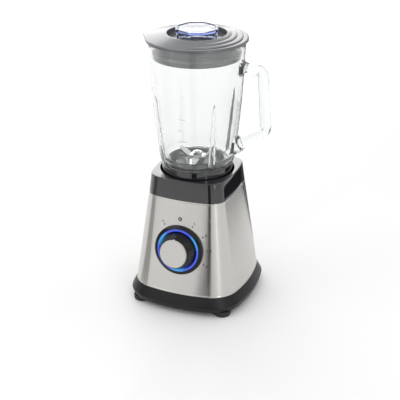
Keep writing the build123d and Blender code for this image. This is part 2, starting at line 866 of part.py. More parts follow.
with BuildPart() as upper_bracket:
    with BuildSketch(Plane.XY.offset(bracket_z)):
        Circle(bracket_hub_radius)
        with PolarLocations(0, 4, start_angle=45):
            Rectangle(mount_reach, bracket_arm_width, align=(Align.MIN, Align.CENTER))
        with PolarLocations(mount_reach, 4, start_angle=45):
            Circle(mount_radius)
    extrude(amount=bracket_thickness)
    posts(bracket_hub_radius, bracket_z - bearing_height / 2, bracket_z)
    posts(spacer_post_radius, stator_top_z, bracket_z, bolt_spots)
    posts(bearing_radius, bracket_z - bearing_height / 2, bracket_z + bearing_height / 2, mode=Mode.SUBTRACT)
    posts(bearing_radius - bearing_race, bracket_z, bracket_top_z, mode=Mode.SUBTRACT)
    posts(bolt_radius + screw_gap, stator_top_z, bracket_top_z, bolt_spots + mount_spots, Mode.SUBTRACT)
upper_bracket.part.label = "upper_bracket"
export_step(upper_bracket.part, "parts/upper_bracket.step")

with BuildPart() as lower_bracket:
    with BuildSketch(Plane.XY.offset(lower_bracket_z)):
        Circle(lower_plate_radius)
        with PolarLocations(0, 4, start_angle=45):
            Rectangle(arm_length, bracket_arm_width, align=(Align.MIN, Align.CENTER))
    extrude(amount=bracket_thickness)
    posts(spacer_post_radius, lower_bracket_top_z, stator_z, bolt_spots)
    with PolarLocations((bracket_hub_radius + lower_plate_radius) / 2, 8):
        with Locations((0, 0, lower_bracket_z)):
            Cylinder(holder_post, bracket_thickness, align=(Align.CENTER, Align.CENTER, Align.MIN),
                     mode=Mode.SUBTRACT)
    posts(bearing_radius, lower_bracket_z + bearing_race, lower_bracket_top_z, mode=Mode.SUBTRACT)
    posts(bearing_radius - bearing_race, lower_bracket_z, lower_bracket_top_z, mode=Mode.SUBTRACT)
    posts(bolt_radius + screw_gap, lower_bracket_z, stator_z, bolt_spots, Mode.SUBTRACT)
lower_bracket.part.label = "lower_bracket"
export_step(lower_bracket.part, "parts/lower_bracket.step")

with BuildPart() as motor_bolts:
    posts(bolt_radius, lower_bracket_z, bracket_top_z, bolt_spots)
    posts(bolt_head_radius, bolt_foot_z, lower_bracket_z, bolt_spots)
    posts(bolt_head_radius, bracket_top_z, bracket_top_z + bolt_head_height, bolt_spots)
motor_bolts.part.label = "motor_bolts"
export_step(motor_bolts.part, "parts/motor_bolts.step")

upper_bearing_z = bracket_z - bearing_height / 2
lower_bearing_z = lower_bracket_z + bearing_race
with BuildPart() as upper_bearing:
    tube(bearing_radius, shaft_radius + running_gap, upper_bearing_z, upper_bearing_z + bearing_height)
upper_bearing.part.label = "upper_bearing"
export_step(upper_bearing.part, "parts/upper_bearing.step")

with BuildPart() as lower_bearing:
    tube(bearing_radius, shaft_radius + running_gap, lower_bearing_z, lower_bearing_z + bearing_height)
lower_bearing.part.label = "lower_bearing"
export_step(lower_bearing.part, "parts/lower_bearing.step")

ring_bore_radius = stator_radius - stator_ring
pole_bore_radius = armature_radius + air_gap
coil_seat = pole_bore_radius + pole_shoe + fit_gap
with BuildPart() as stator_core:
    with BuildSketch(Plane.XY.offset(stator_z)):
        Circle(stator_radius)
        Circle(ring_bore_radius, mode=Mode.SUBTRACT)
        for side in (90, -90):
            with BuildLine() as shoe:
                CenterArc((0, 0), pole_bore_radius, side - pole_shoe_half_angle, 2 * pole_shoe_half_angle)
                CenterArc((0, 0), pole_bore_radius + pole_shoe, side - pole_shoe_half_angle,
                          2 * pole_shoe_half_angle)
                Line(shoe.edges()[0] @ 0, shoe.edges()[1] @ 0)
                Line(shoe.edges()[0] @ 1, shoe.edges()[1] @ 1)
            make_face()
        with PolarLocations(0, 2, start_angle=90):
            Rectangle(ring_bore_radius + stator_ring / 2, 2 * pole_half_width, align=(Align.MIN, Align.CENTER))
        with Locations(*bolt_spots):
            Circle(stator_ear_radius)
        with Locations(*bolt_spots):
            Circle(bolt_radius + screw_gap, mode=Mode.SUBTRACT)
        Circle(pole_bore_radius, mode=Mode.SUBTRACT)
    extrude(amount=stator_length)
stator_core.part.label = "stator_core"
export_step(stator_core.part, "parts/stator_core.step")

coil_middle_z = stator_z + stator_length / 2
coil_window = (2 * pole_half_width + 2 * fit_gap, stator_length + 2 * fit_gap)
with BuildPart() as field_coils:
    for facing in (1, -1):
        with BuildSketch(Plane(origin=(0, facing * coil_seat, coil_middle_z), x_dir=(1, 0, 0), z_dir=(0, facing, 0))):
            RectangleRounded(coil_window[0] + 2 * coil_band, coil_window[1] + 2 * coil_end, coil_band)
            Rectangle(*coil_window, mode=Mode.SUBTRACT)
        extrude(amount=coil_depth)
    posts(ring_bore_radius - fit_gap, stator_z - 2 * coil_end, stator_top_z + 2 * coil_end, mode=Mode.INTERSECT)
field_coils.part.label = "field_coils"
export_step(field_coils.part, "parts/field_coils.step")

# ---------------------------------------------------------------- rotor

winding_z = stator_z - winding_end
winding_top_z = stator_top_z + winding_end
commutator_top_z = winding_z - commutator_drop
commutator_z = commutator_top_z - commutator_length
fan_top_z = lower_bracket_z - fan_drop
fan_z = fan_top_z - fan_height
dog_z = well_floor_z + dog_lift
dog_top_z = dog_z + dog_height

with BuildPart() as motor_shaft:
    posts(shaft_radius, fan_z - shaft_end, dog_z + dog_height / 2)
    chamfer(motor_shaft.edges().group_by(Axis.Z)[0], length=fit_gap * 2)
motor_shaft.part.label = "motor_shaft"
export_step(motor_shaft.part, "parts/motor_shaft.step")

slot_spots = around(slot_reach, slot_count)
with BuildPart() as armature_core:
    tube(armature_radius, shaft_radius, stator_z, stator_top_z)
    posts(slot_radius + running_gap, stator_z, stator_top_z, slot_spots, Mode.SUBTRACT)
    with PolarLocations(slot_reach, slot_count):
        with Locations((0, 0, stator_z)):
            Box(armature_radius, slot_radius, stator_length, align=(Align.MIN, Align.CENTER, Align.MIN),
                mode=Mode.SUBTRACT)
armature_core.part.label = "armature_core"
export_step(armature_core.part, "parts/armature_core.step")

with BuildPart() as armature_windings:
    for low, high in ((winding_z, stator_z), (stator_top_z, winding_top_z)):
        tube(winding_radius, commutator_radius, low, high)
    fillet(armature_windings.edges().filter_by(GeomType.CIRCLE), radius=winding_end / 4)
    posts(slot_radius, stator_z - fit_gap, stator_top_z + fit_gap, slot_spots)
armature_windings.part.label = "armature_windings"
export_step(armature_windings.part, "parts/armature_windings.step")

with BuildPart() as commutator:
    tube(commutator_radius, shaft_radius, commutator_z, commutator_top_z)
    with PolarLocations(commutator_radius - bar_slit_depth, commutator_bars):
        with Locations((0, 0, commutator_z)):
            Box(2 * bar_slit_depth, bar_slit, commutator_length, align=(Align.MIN, Align.CENTER, Align.MIN),
                mode=Mode.SUBTRACT)
commutator.part.label = "commutator"
export_step(commutator.part, "parts/commutator.step")

with BuildPart() as cooling_fan:
    tube(fan_hub_radius, shaft_radius, fan_z, fan_top_z)
    tube(fan_radius, shaft_radius, fan_top_z - fan_back, fan_top_z)
    with PolarLocations(fan_hub_radius - fan_blade, fan_blade_count):
        with Locations((0, 0, fan_z)):
            Box(fan_radius - fan_hub_radius, fan_blade, fan_height,
                align=(Align.MIN, Align.CENTER, Align.MIN))
cooling_fan.part.label = "cooling_fan"
export_step(cooling_fan.part, "parts/cooling_fan.step")

with BuildPart() as drive_dog:
    with BuildSketch(Plane.XY.offset(dog_z)):
        Circle(dog_radius)
        with PolarLocations(0, dog_tooth_count):
            Rectangle(dog_radius + dog_tooth_reach, dog_tooth_width, align=(Align.MIN, Align.CENTER))
    extrude(amount=dog_height)
    chamfer(drive_dog.edges().group_by(Axis.Z)[-1], length=fit_gap * 3)
    posts(shaft_radius, dog_z, dog_z + dog_height / 2, mode=Mode.SUBTRACT)
drive_dog.part.label = "drive_dog"
export_step(drive_dog.part, "parts/drive_dog.step")

duct_radius = fan_radius + duct_clearance
with BuildPart() as fan_shroud:
    tube(duct_radius + duct_wall, duct_radius, cover_top_z, fan_top_z + duct_overlap)
    tube(duct_radius + 2 * duct_wall, duct_radius, cover_top_z, cover_top_z + duct_wall)
fan_shroud.part.label = "fan_shroud"
export_step(fan_shroud.part, "parts/fan_shroud.step")

# ---------------------------------------------------------------- brush gear

brush_z = commutator_z + commutator_length / 2
brush_start = commutator_radius + brush_gap
brush_end = brush_start + brush_length
brush_spans = [sorted((side * brush_start, side * brush_end)) for side in (1, -1)]
with BuildPart() as carbon_brushes:
    for low, high in brush_spans:
        block((low, -brush_width / 2, brush_z - brush_height / 2), (high, brush_width / 2, brush_z + brush_height / 2))
carbon_brushes.part.label = "carbon_brushes"
export_step(carbon_brushes.part, "parts/carbon_brushes.step")

holder_half_width = brush_width / 2 + brush_fit + holder_wall
holder_half_height = brush_height / 2 + brush_fit + holder_wall
with BuildPart() as brush_holders:
    for side in (1, -1):
        low, high = sorted((side * holder_start, side * holder_end))
        block(
            (low, -holder_half_width, brush_z - holder_half_height),
            (high, holder_half_width, brush_z + holder_half_height),
        )
        low, high = sorted((side * (holder_end - holder_post), side * holder_end))
        block((low, -holder_post / 2, lower_bracket_top_z), (high, holder_post / 2, brush_z - holder_half_height))
    for side in (1, -1):
        low, high = sorted((side * holder_start, side * (holder_end - holder_wall)))
        block(
            (low, -brush_width / 2 - brush_fit, brush_z - brush_height / 2 - brush_fit),
            (high, brush_width / 2 + brush_fit, brush_z + brush_height / 2 + brush_fit),
            Mode.SUBTRACT,
        )
brush_holders.part.label = "brush_holders"
export_step(brush_holders.part, "parts/brush_holders.step")

spring_start = brush_end + spring_wire
spring_span = holder_end - holder_wall - spring_wire - spring_start
with BuildPart() as brush_springs:
    for side in (1, -1):
        with BuildLine() as coil:
            Helix(
                pitch=spring_span / 3,
                height=spring_span,
                radius=brush_width / 2 - spring_wire,
                center=(side * spring_start, 0, brush_z),
                direction=(side, 0, 0),
            )
        with BuildSketch(Plane(origin=coil.line @ 0, z_dir=coil.line % 0)):
            Circle(spring_wire / 2)
        sweep(path=coil.line)
brush_springs.part.label = "brush_springs"
export_step(brush_springs.part, "parts/brush_springs.step")

# ---------------------------------------------------------------- jug

heel_z = shoulder_z + heel_rise
middle_z = shoulder_z + middle_rise
brim_z = shoulder_z + brim_rise
rim_radius = brim_radius + rim_flare
bottom_radius = neck_radius - neck_wall
bowl_floor_z = shoulder_z + shoulder_slope + glass_wall / 2
bowl_heel_z = heel_z + glass_wall


def jug_outside(extra_top=0):
    """Outer outline of the jug from neck to rim, closed on the axis."""
    with BuildSketch(Plane.XZ) as outline:
        with BuildLine():
            Polyline((0, neck_z), (neck_radius, neck_z), (neck_radius, shoulder_z),
                     (shoulder_radius, shoulder_z + shoulder_slope))
            ThreePointArc(
                (shoulder_radius, shoulder_z + shoulder_slope),
                ((shoulder_radius + heel_radius) / 2 + heel_bulge / 2,
                 (shoulder_z + shoulder_slope + heel_z) / 2 - heel_bulge / 2),
                (heel_radius, heel_z),
            )
            ThreePointArc((heel_radius, heel_z), (middle_radius, middle_z), (brim_radius, brim_z))
            Polyline((brim_radius, brim_z), (rim_radius, rim_z), (0, rim_z), (0, neck_z))
        make_face()
    return outline.sketch


def jug_inside():
    """Inner outline of the jug, from the opening for the blade carrier to the rim."""
    with BuildSketch(Plane.XZ) as outline:
        with BuildLine():
            Polyline((0, neck_z), (bottom_radius, neck_z), (bottom_radius, bowl_floor_z))
            ThreePointArc(
                (bottom_radius, bowl_floor_z),
                ((bottom_radius + heel_radius - glass_wall) / 2 + heel_bulge,
                 (bowl_floor_z + bowl_heel_z) / 2 - heel_bulge),
                (heel_radius - glass_wall, bowl_heel_z),
            )
            ThreePointArc(
                (heel_radius - glass_wall, bowl_heel_z),
                (middle_radius - glass_wall, middle_z),
                (brim_radius - glass_wall, brim_z),
            )
            Polyline((brim_radius - glass_wall, brim_z), (rim_radius - glass_wall, rim_z), (0, rim_z), (0, neck_z))
        make_face()
    return outline.sketch


def lip_funnel(inset):
    """Pouring lip that widens out of the wall on the -X side."""
    start = Plane.XY.offset(rim_z - lip_height)
    with BuildSketch(start) as throat:
        with Locations((lip_width_radius - brim_radius + glass_wall, 0)):
            Circle(lip_width_radius - inset)
    with BuildSketch(Plane.XY.offset(rim_z)) as mouth:
        with Locations((lip_width_radius - rim_radius - lip_reach, 0)):
            Circle(lip_width_radius - inset)
    return [throat.sketch, mouth.sketch]


with BuildPart() as inner_rib:
    with BuildSketch(Plane.XY.offset(bowl_floor_z)):
        with Locations((heel_radius - glass_wall - rib_foot_radius / 2, 0)):
            Circle(rib_foot_radius)
    with BuildSketch(Plane.XY.offset(bowl_floor_z + rib_rise)):
        with Locations((middle_radius - glass_wall + rib_tip_radius / 2 + fit_gap, 0)):
            Circle(rib_tip_radius)
    loft()

grip_top_z = rim_z - grip_top_drop
grip_foot_z = grip_top_z - grip_length
grip_top_x = rim_radius + grip_top_reach
grip_foot_x = grip_top_x + grip_lean
grip_root_z = rim_z - grip_root_drop
grip_path = [
    (brim_radius - glass_wall / 2, grip_top_z),
    (grip_top_x, grip_top_z),
    (grip_foot_x, grip_foot_z),
    (heel_radius + glass_wall / 2, grip_root_z),
]


def grip_section(plane, thickness, width):
    """Faceted cross-section of the handle."""
    with BuildSketch(plane) as outline:
        Rectangle(thickness, width)
        chamfer(outline.vertices(), length=grip_chamfer)
    return outline.sketch


def grip_plane(start, end, distance=0):
    """Plane square to an arm of the handle, a distance along it."""
    run = Vector(end[0] - start[0], 0, end[1] - start[1]).normalized()
    origin = Vector(start[0], 0, start[1]) + run * distance
    return Plane(origin=origin, x_dir=run.cross(Vector(0, 1, 0)), z_dir=run)


with BuildPart() as glass_jug:
    revolve(jug_outside(), axis=Axis.Z)
    fillet(glass_jug.edges().group_by(Axis.Z)[-1], radius=glass_wall / 4)
    loft(lip_funnel(0))
    with BuildLine(Plane.XZ) as grip_line:
        FilletPolyline(*grip_path, radius=grip_bend_radius)
    sweep(grip_section(grip_plane(grip_path[0], grip_path[1]), grip_thickness, grip_width), path=grip_line.line)
    for root, away in ((grip_path[0], grip_path[1]), (grip_path[3], grip_path[2])):
        loft([
            grip_section(grip_plane(root, away), grip_thickness + 2 * root_flare, grip_width + root_flare),
            grip_section(grip_plane(root, away, root_flare_length), grip_thickness, grip_width),
        ])
    revolve(jug_inside(), axis=Axis.Z, mode=Mode.SUBTRACT)
    loft(lip_funnel(glass_wall), mode=Mode.SUBTRACT)
    with PolarLocations(0, rib_count, start_angle=rib_start_angle):
        add(inner_rib.part)
    for turn in range(2):
        ridge_z = neck_z + (2 * turn + 1) * thread_ridge_height
        spun([
            (neck_radius - thread_ridge, ridge_z),
            (neck_radius + thread_ridge, ridge_z + thread_ridge_height / 2),
            (neck_radius - thread_ridge, ridge_z + thread_ridge_height),
        ])
glass_jug.part.label = "glass_jug"
export_step(glass_jug.part, "parts/glass_jug.step")

# ---------------------------------------------------------------- collar and carrier

carrier_z = neck_z - gasket_height - carrier_flange
collar_bore_radius = neck_radius + thread_ridge + motion_gap
with BuildPart() as jug_collar:
    spun([
        (collar_flange_radius, carrier_z - collar_flange_height),
        (collar_radius - collar_wall, carrier_z - collar_flange_height),
        (collar_radius - collar_wall, collar_z),
        (collar_radius, collar_z),
        (collar_radius, collar_top_z - collar_wall / 2),
        (collar_radius - collar_wall / 2, collar_top_z),
        (collar_bore_radius, collar_top_z),
        (collar_bore_radius, carrier_z),
        (collar_flange_radius, carrier_z),
    ])
    with PolarLocations(key_reach - key_gap, 4, start_angle=45):
        with Locations((0, 0, collar_z)):
            Box(2 * key_depth + key_gap, key_width + 2 * key_gap, key_height - pad_height,
                align=(Align.MIN, Align.CENTER, Align.MIN), mode=Mode.SUBTRACT)
jug_collar.part.label = "jug_collar"
export_step(jug_collar.part, "parts/jug_collar.step")

with BuildPart() as jug_gasket:
    tube(neck_radius, bottom_radius - carrier_gap + fit_gap, neck_z - gasket_height, neck_z)
jug_gasket.part.label = "jug_gasket"
export_step(jug_gasket.part, "parts/jug_gasket.step")

dome_radius = bottom_radius - carrier_gap
dome_top_z = neck_z + carrier_rise
hub_top_z = dome_top_z + hub_rise
bush_radius = blade_shaft_radius + bush_wall
hub_foot_z = hub_top_z - 2 * bush_length - carrier_wall
with BuildPart() as blade_carrier:
    spun([
        (0, hub_foot_z),
        (hub_radius, hub_foot_z),
        (hub_radius, dome_top_z - carrier_wall),
        (dome_radius - 2 * carrier_wall, dome_top_z - carrier_wall),
        (dome_radius - carrier_wall, dome_top_z - 3 * carrier_wall),
        (dome_radius - carrier_wall, carrier_z),
        (neck_radius, carrier_z),
        (neck_radius, carrier_z + carrier_flange),
        (dome_radius, carrier_z + carrier_flange),
        (dome_radius, dome_top_z - 2 * carrier_wall),
        (dome_radius - 2 * carrier_wall, dome_top_z),
        (hub_radius, dome_top_z),
        (hub_radius, hub_top_z),
        (0, hub_top_z),
    ])
    posts(bush_radius, hub_foot_z, hub_top_z, mode=Mode.SUBTRACT)
blade_carrier.part.label = "blade_carrier"
export_step(blade_carrier.part, "parts/blade_carrier.step")

bush_top_z = hub_top_z - carrier_wall
with BuildPart() as carrier_bushes:
    for low in (hub_foot_z, bush_top_z - bush_length):
        tube(bush_radius, blade_shaft_radius + running_gap, low, low + bush_length)
carrier_bushes.part.label = "carrier_bushes"
export_step(carrier_bushes.part, "parts/carrier_bushes.step")

with BuildPart() as carrier_seal:
    tube(bush_radius, blade_shaft_radius + running_gap, bush_top_z, hub_top_z)
carrier_seal.part.label = "carrier_seal"
export_step(carrier_seal.part, "parts/carrier_seal.step")

# ---------------------------------------------------------------- blades

socket_z = dog_z + seal_height / 2
socket_roof_z = dog_top_z + dog_lift / 2
socket_top_z = socket_roof_z + socket_roof
lower_spacer_z = hub_top_z + motion_gap
lower_blade_z = lower_spacer_z + spacer_height
upper_spacer_z = lower_blade_z + blade_thickness
upper_blade_z = upper_spacer_z + spacer_height
nut_z = upper_blade_z + blade_thickness
blade_shaft_top_z = nut_z + nut_height + shaft_end

with BuildPart() as blade_shaft:
    posts(blade_shaft_radius, socket_roof_z, blade_shaft_top_z)
    chamfer(blade_shaft.edges().group_by(Axis.Z)[-1], length=fit_gap * 3)
blade_shaft.part.label = "blade_shaft"
export_step(blade_shaft.part, "parts/blade_shaft.step")


def bent_blade(level, wing_angle, plane):
    """Profile of a two-winged blade: a flat middle and both wings bent by one angle."""
    reach = blade_span_radius - blade_root
    tip_rise = reach * sin(radians(wing_angle))
    tip_x = blade_root + reach * cos(radians(wing_angle))
    with BuildSketch(plane) as outline:
        with BuildLine():
            Polyline(
                (-tip_x, level + tip_rise),
                (-blade_root, level),
                (blade_root, level),
                (tip_x, level + tip_rise),
                (tip_x, level + tip_rise + blade_thickness),
                (blade_root, level + blade_thickness),
                (-blade_root, level + blade_thickness),
                (-tip_x, level + tip_rise + blade_thickness),
                close=True,
            )
        make_face()
    return outline.sketch


def blade_plan(turn):
    """Plan of a blade: wings that narrow to their tips."""
    with BuildSketch(Plane.XY.rotated((0, 0, turn))) as outline:
        with BuildLine():
            Polyline(
                (-blade_span_radius, -blade_width / 2),
                (-blade_root, -blade_width / 2),
                (blade_root, -blade_width / 2),
                (blade_span_radius, blade_width / 2 - blade_tip_width),
                (blade_span_radius, blade_width / 2),
                (blade_root, blade_width / 2),
                (-blade_root, blade_width / 2),
                (-blade_span_radius, blade_tip_width - blade_width / 2),
                close=True,
            )
        make_face()
    return outline.sketch


with BuildPart() as upper_blade:
    extrude(bent_blade(upper_blade_z, upper_wing_angle, Plane.XZ), amount=blade_width, both=True)
    extrude(blade_plan(0), amount=blade_shaft_top_z + blade_span_radius, mode=Mode.INTERSECT)
    posts(blade_shaft_radius, upper_blade_z - blade_thickness, nut_z, mode=Mode.SUBTRACT)
upper_blade.part.label = "upper_blade"
export_step(upper_blade.part, "parts/upper_blade.step")

with BuildPart() as lower_blade:
    extrude(bent_blade(lower_blade_z, lower_wing_angle, Plane.YZ), amount=blade_width, both=True)
    extrude(blade_plan(90), amount=blade_shaft_top_z + blade_span_radius, mode=Mode.INTERSECT)
    posts(blade_shaft_radius, lower_blade_z - blade_thickness, nut_z, mode=Mode.SUBTRACT)
lower_blade.part.label = "lower_blade"
export_step(lower_blade.part, "parts/lower_blade.step")

with BuildPart() as blade_spacers:
    for low in (lower_spacer_z, upper_spacer_z):
        tube(spacer_radius, blade_shaft_radius, low, low + spacer_height)
blade_spacers.part.label = "blade_spacers"
export_step(blade_spacers.part, "parts/blade_spacers.step")

with BuildPart() as blade_nut:
    with BuildSketch(Plane.XY.offset(nut_z)):
        RegularPolygon(nut_radius, 6)
        Circle(blade_shaft_radius, mode=Mode.SUBTRACT)
    extrude(amount=nut_height)
blade_nut.part.label = "blade_nut"
export_step(blade_nut.part, "parts/blade_nut.step")

with BuildPart() as jug_drive_dog:
    posts(socket_radius, socket_z, socket_top_z)
    with BuildSketch(Plane.XY.offset(socket_z)):
        Circle(dog_radius + dog_gap)
        with PolarLocations(0, dog_tooth_count):
            Rectangle(
                dog_radius + dog_tooth_reach + dog_gap,
                dog_tooth_width + 2 * dog_gap,
                align=(Align.MIN, Align.CENTER),
            )
    extrude(amount=socket_roof_z - socket_z, mode=Mode.SUBTRACT)
    posts(blade_shaft_radius, socket_roof_z, socket_top_z, mode=Mode.SUBTRACT)
jug_drive_dog.part.label = "jug_drive_dog"
export_step(jug_drive_dog.part, "parts/jug_drive_dog.step")

# ---------------------------------------------------------------- lid and filler cap

lid_radius = rim_radius + lid_overhang
beak_reach = lid_radius + beak_length
lid_edge_z = lid_z + lid_edge
crown_z = lid_edge_z + lid_dome_rise
recess_floor_z = crown_z - lid_recess_depth
dome_slope = lid_dome_rise / (lid_radius - lid_crown_radius)
skirt_radius = brim_radius - glass_wall - skirt_clearance
skirt_bore_radius = skirt_radius - skirt_wall
skirt_foot_z = lid_z - skirt_depth
beak_tip_x = -beak_reach + beak_tip_radius
cap_hole_radius = cap_plug_radius + motion_gap

with BuildPart() as lid:
    with BuildSketch(Plane.XY.offset(lid_z)):
        Circle(lid_radius)
        with Locations((beak_tip_x, 0)):
            Circle(beak_tip_radius)
        make_hull()
    extrude(amount=2 * crown_z - 2 * lid_z)
    spun([
        (0, lid_z),
        (beak_reach, lid_z),
        (beak_reach, lid_edge_z - beak_drop),
        (lid_radius, lid_edge_z),
        (lid_crown_radius, crown_z),
        (0, crown_z),
    ], mode=Mode.INTERSECT)
    for offset_x, step_inset, drop in lid_steps:
        with BuildSketch(Plane.XY.offset(crown_z - drop)):
            Circle(2 * lid_radius)
            with Locations((offset_x, 0)):
                Circle(lid_radius - step_inset, mode=Mode.SUBTRACT)
            with Locations((-lid_radius, 0)):
                Rectangle(2 * lid_radius, 4 * lid_radius, mode=Mode.SUBTRACT)
        extrude(amount=lid_dome_rise + lid_edge, mode=Mode.SUBTRACT)
    posts(lid_crown_radius, recess_floor_z, crown_z, mode=Mode.SUBTRACT)
    spun([
        (lid_crown_radius + plastic_wall, lid_z),
        (skirt_bore_radius, lid_z),
        (skirt_bore_radius, crown_z - lid_roof - dome_slope * (skirt_bore_radius - lid_crown_radius)),
        (lid_crown_radius + plastic_wall, crown_z - lid_roof - dome_slope * plastic_wall),
    ], mode=Mode.SUBTRACT)
    tube(skirt_radius, skirt_bore_radius, skirt_foot_z, lid_z + plastic_wall)
    posts(cap_hole_radius, lid_z, crown_z, mode=Mode.SUBTRACT)
lid.part.label = "lid"
export_step(lid.part, "parts/lid.step")

lid_gasket_z = skirt_foot_z + lid_gasket_rise
gasket_lip_radius = brim_radius - glass_wall - lid_gasket_gap
with BuildPart() as lid_gasket:
    spun([
        (skirt_radius, lid_gasket_z),
        (gasket_lip_radius - lid_gasket_gap / 2, lid_gasket_z),
        (gasket_lip_radius, lid_gasket_z + lid_gasket_height / 2),
        (gasket_lip_radius - lid_gasket_gap / 2, lid_gasket_z + lid_gasket_height),
        (skirt_radius, lid_gasket_z + lid_gasket_height),
    ])
lid_gasket.part.label = "lid_gasket"
export_step(lid_gasket.part, "parts/lid_gasket.step")

cap_z = recess_floor_z + seat_gap
cap_top_z = recess_floor_z + cap_height
cap_shoulder_z = cap_top_z - cap_rim_height
cap_foot_level = cap_z - cap_plug_depth


def cap_outline(level, radius):
    """Rounded octagon that turns one flat to the front right."""
    with BuildSketch(Plane.XY.offset(level)) as outline:
        RegularPolygon(radius, cap_sides, major_radius=False, rotation=cap_turn)
        fillet(outline.vertices(), radius=cap_corner_radius)
    return outline.sketch


with BuildPart() as filler_cap:
    loft([cap_outline(cap_z, cap_foot_radius), cap_outline(cap_shoulder_z, cap_top_radius)])
    loft([
        cap_outline(cap_shoulder_z, cap_top_radius),
        cap_outline(cap_top_z, cap_top_radius - cap_rim_height),
    ])
    posts(cap_plug_radius, cap_foot_level, cap_z)
    posts(cap_top_radius - cap_rim_height - cap_rim_width, cap_shoulder_z, cap_top_z, mode=Mode.SUBTRACT)
    posts(cap_plug_radius - cap_wall, cap_foot_level, cap_shoulder_z - cap_wall, mode=Mode.SUBTRACT)
filler_cap.part.label = "filler_cap"
export_step(filler_cap.part, "parts/filler_cap.step")
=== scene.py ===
from math import acos, atan2, cos, hypot, pi, radians, sin, sqrt, tan

import bmesh
import bpy
from mathutils import Matrix, Vector


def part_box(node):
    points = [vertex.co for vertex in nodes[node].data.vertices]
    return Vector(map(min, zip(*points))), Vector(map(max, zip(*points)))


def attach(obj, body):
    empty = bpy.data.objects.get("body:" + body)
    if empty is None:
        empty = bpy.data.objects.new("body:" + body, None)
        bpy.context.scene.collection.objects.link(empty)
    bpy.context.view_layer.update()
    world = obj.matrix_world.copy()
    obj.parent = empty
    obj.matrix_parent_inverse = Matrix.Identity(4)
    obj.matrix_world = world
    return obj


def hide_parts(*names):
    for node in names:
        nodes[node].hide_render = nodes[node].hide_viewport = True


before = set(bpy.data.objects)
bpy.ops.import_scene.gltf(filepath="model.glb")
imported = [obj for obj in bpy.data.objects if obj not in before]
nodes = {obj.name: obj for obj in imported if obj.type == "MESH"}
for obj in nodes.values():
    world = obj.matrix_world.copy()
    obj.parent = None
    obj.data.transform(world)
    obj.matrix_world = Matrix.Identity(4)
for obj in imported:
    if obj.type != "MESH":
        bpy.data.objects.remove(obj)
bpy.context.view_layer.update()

# ---------------------------------------------------------------- rubber feet
# Four round feet of soft black rubber carry the base. Each is moulded with a hollow sole that
# grips the worktop, and with a stem that is pushed up through the bottom cover.

MM = 0.001


def corners_of(name):
    """Lowest and highest corner of a CAD node, in millimetres."""
    low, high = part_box(name)
    return low / MM, high / MM


def rounded(points, steps=5):
    """Closed outline of (x, y) points; a third number is the radius that rounds a corner."""
    line = []
    for index, point in enumerate(points):
        corner = Vector(point[:2])
        if len(point) == 2:
            line.append(corner)
            continue
        before = (Vector(points[index - 1][:2]) - corner).normalized()
        after = (Vector(points[(index + 1) % len(points)][:2]) - corner).normalized()
        half = before.angle(after) / 2
        centre = corner + (before + after).normalized() * point[2] / sin(half)
        first = corner + before * point[2] / tan(half) - centre
        last = corner + after * point[2] / tan(half) - centre
        for step in range(steps + 1):
            line.append(centre + first.lerp(last, step / steps).normalized() * point[2])
    return line


def skin(mesh, rings, loop=False, capped=False, place=Matrix.Identity(4)):
    """Join rings of points in millimetres: round on themselves, with closed ends, or open."""
    rows = [[mesh.verts.new((place @ Vector(point)) * MM) for point in ring] for ring in rings]
    for here, there in zip(rows, rows[1:] + (rows[:1] if loop else [])):
        for index in range(len(here)):
            after = (index + 1) % len(here)
            mesh.faces.new((here[index], here[after], there[after], there[index]))
    if capped:
        mesh.faces.new(rows[0])
        mesh.faces.new(rows[-1])


def around(steps):
    """Angles of a full turn in even steps."""
    return [2 * pi * step / steps for step in range(steps)]


def turned(mesh, profile, place=Matrix.Identity(4), steps=96):
    """Turn a closed outline of (radius, height) points about the axis of a place."""
    rings = [
        [(radius * cos(turn), radius * sin(turn), height) for turn in around(steps)]
        for radius, height in profile
    ]
    skin(mesh, rings, loop=True, place=place)


def tube(mesh, inner, outer, low, high, place, steps=96):
    """A plain ring, or a cylinder where its inner radius is 0."""
    turned(mesh, [(inner, low), (outer, low), (outer, high), (inner, high)], place, steps)


def put_in_scene(name, mesh):
    """Clean a mesh, shade it smooth, and put it in the scene."""
    bmesh.ops.remove_doubles(mesh, verts=mesh.verts, dist=0.001 * MM)
    bmesh.ops.delete(mesh, geom=[edge for edge in mesh.edges if not edge.link_faces], context="EDGES")
    bmesh.ops.recalc_face_normals(mesh, faces=mesh.faces)
    data = bpy.data.meshes.new(name)
    mesh.to_mesh(data)
    mesh.free()
    data.shade_smooth()
    made = bpy.data.objects.new(name, data)
    bpy.context.scene.collection.objects.link(made)
    return made


def make_piece(name, mesh, material, crease=35):
    """Put a mesh in the scene with its material, with sharp edges where it turns by the crease."""
    piece = put_in_scene(name, mesh)
    piece.data.set_sharp_from_angle(angle=radians(crease))
    piece.data.materials.append(material)
    return piece


def add_node(material, kind, inputs=None, **settings):
    """Add a shader node. Each input is given a value, or joined to the socket given for it."""
    made = material.node_tree.nodes.new("ShaderNode" + kind)
    for name, value in settings.items():
        setattr(made, name, value)
    for name, value in (inputs or {}).items():
        if isinstance(value, bpy.types.NodeSocket):
            material.node_tree.links.new(value, made.inputs[name])
        else:
            made.inputs[name].default_value = value
    return made


def grain(material, size, stretch=(1, 1, 1), detail=4):
    """Noise with grains of a size in millimetres, drawn out along the object's axes."""
    place = add_node(material, "TexCoord").outputs["Object"]
    scale = [1 / (size * MM * length) for length in stretch]
    place = add_node(material, "Mapping", {"Vector": place, "Scale": scale}).outputs["Vector"]
    return add_node(material, "TexNoise", {"Vector": place, "Scale": 1, "Detail": detail}).outputs["Fac"]


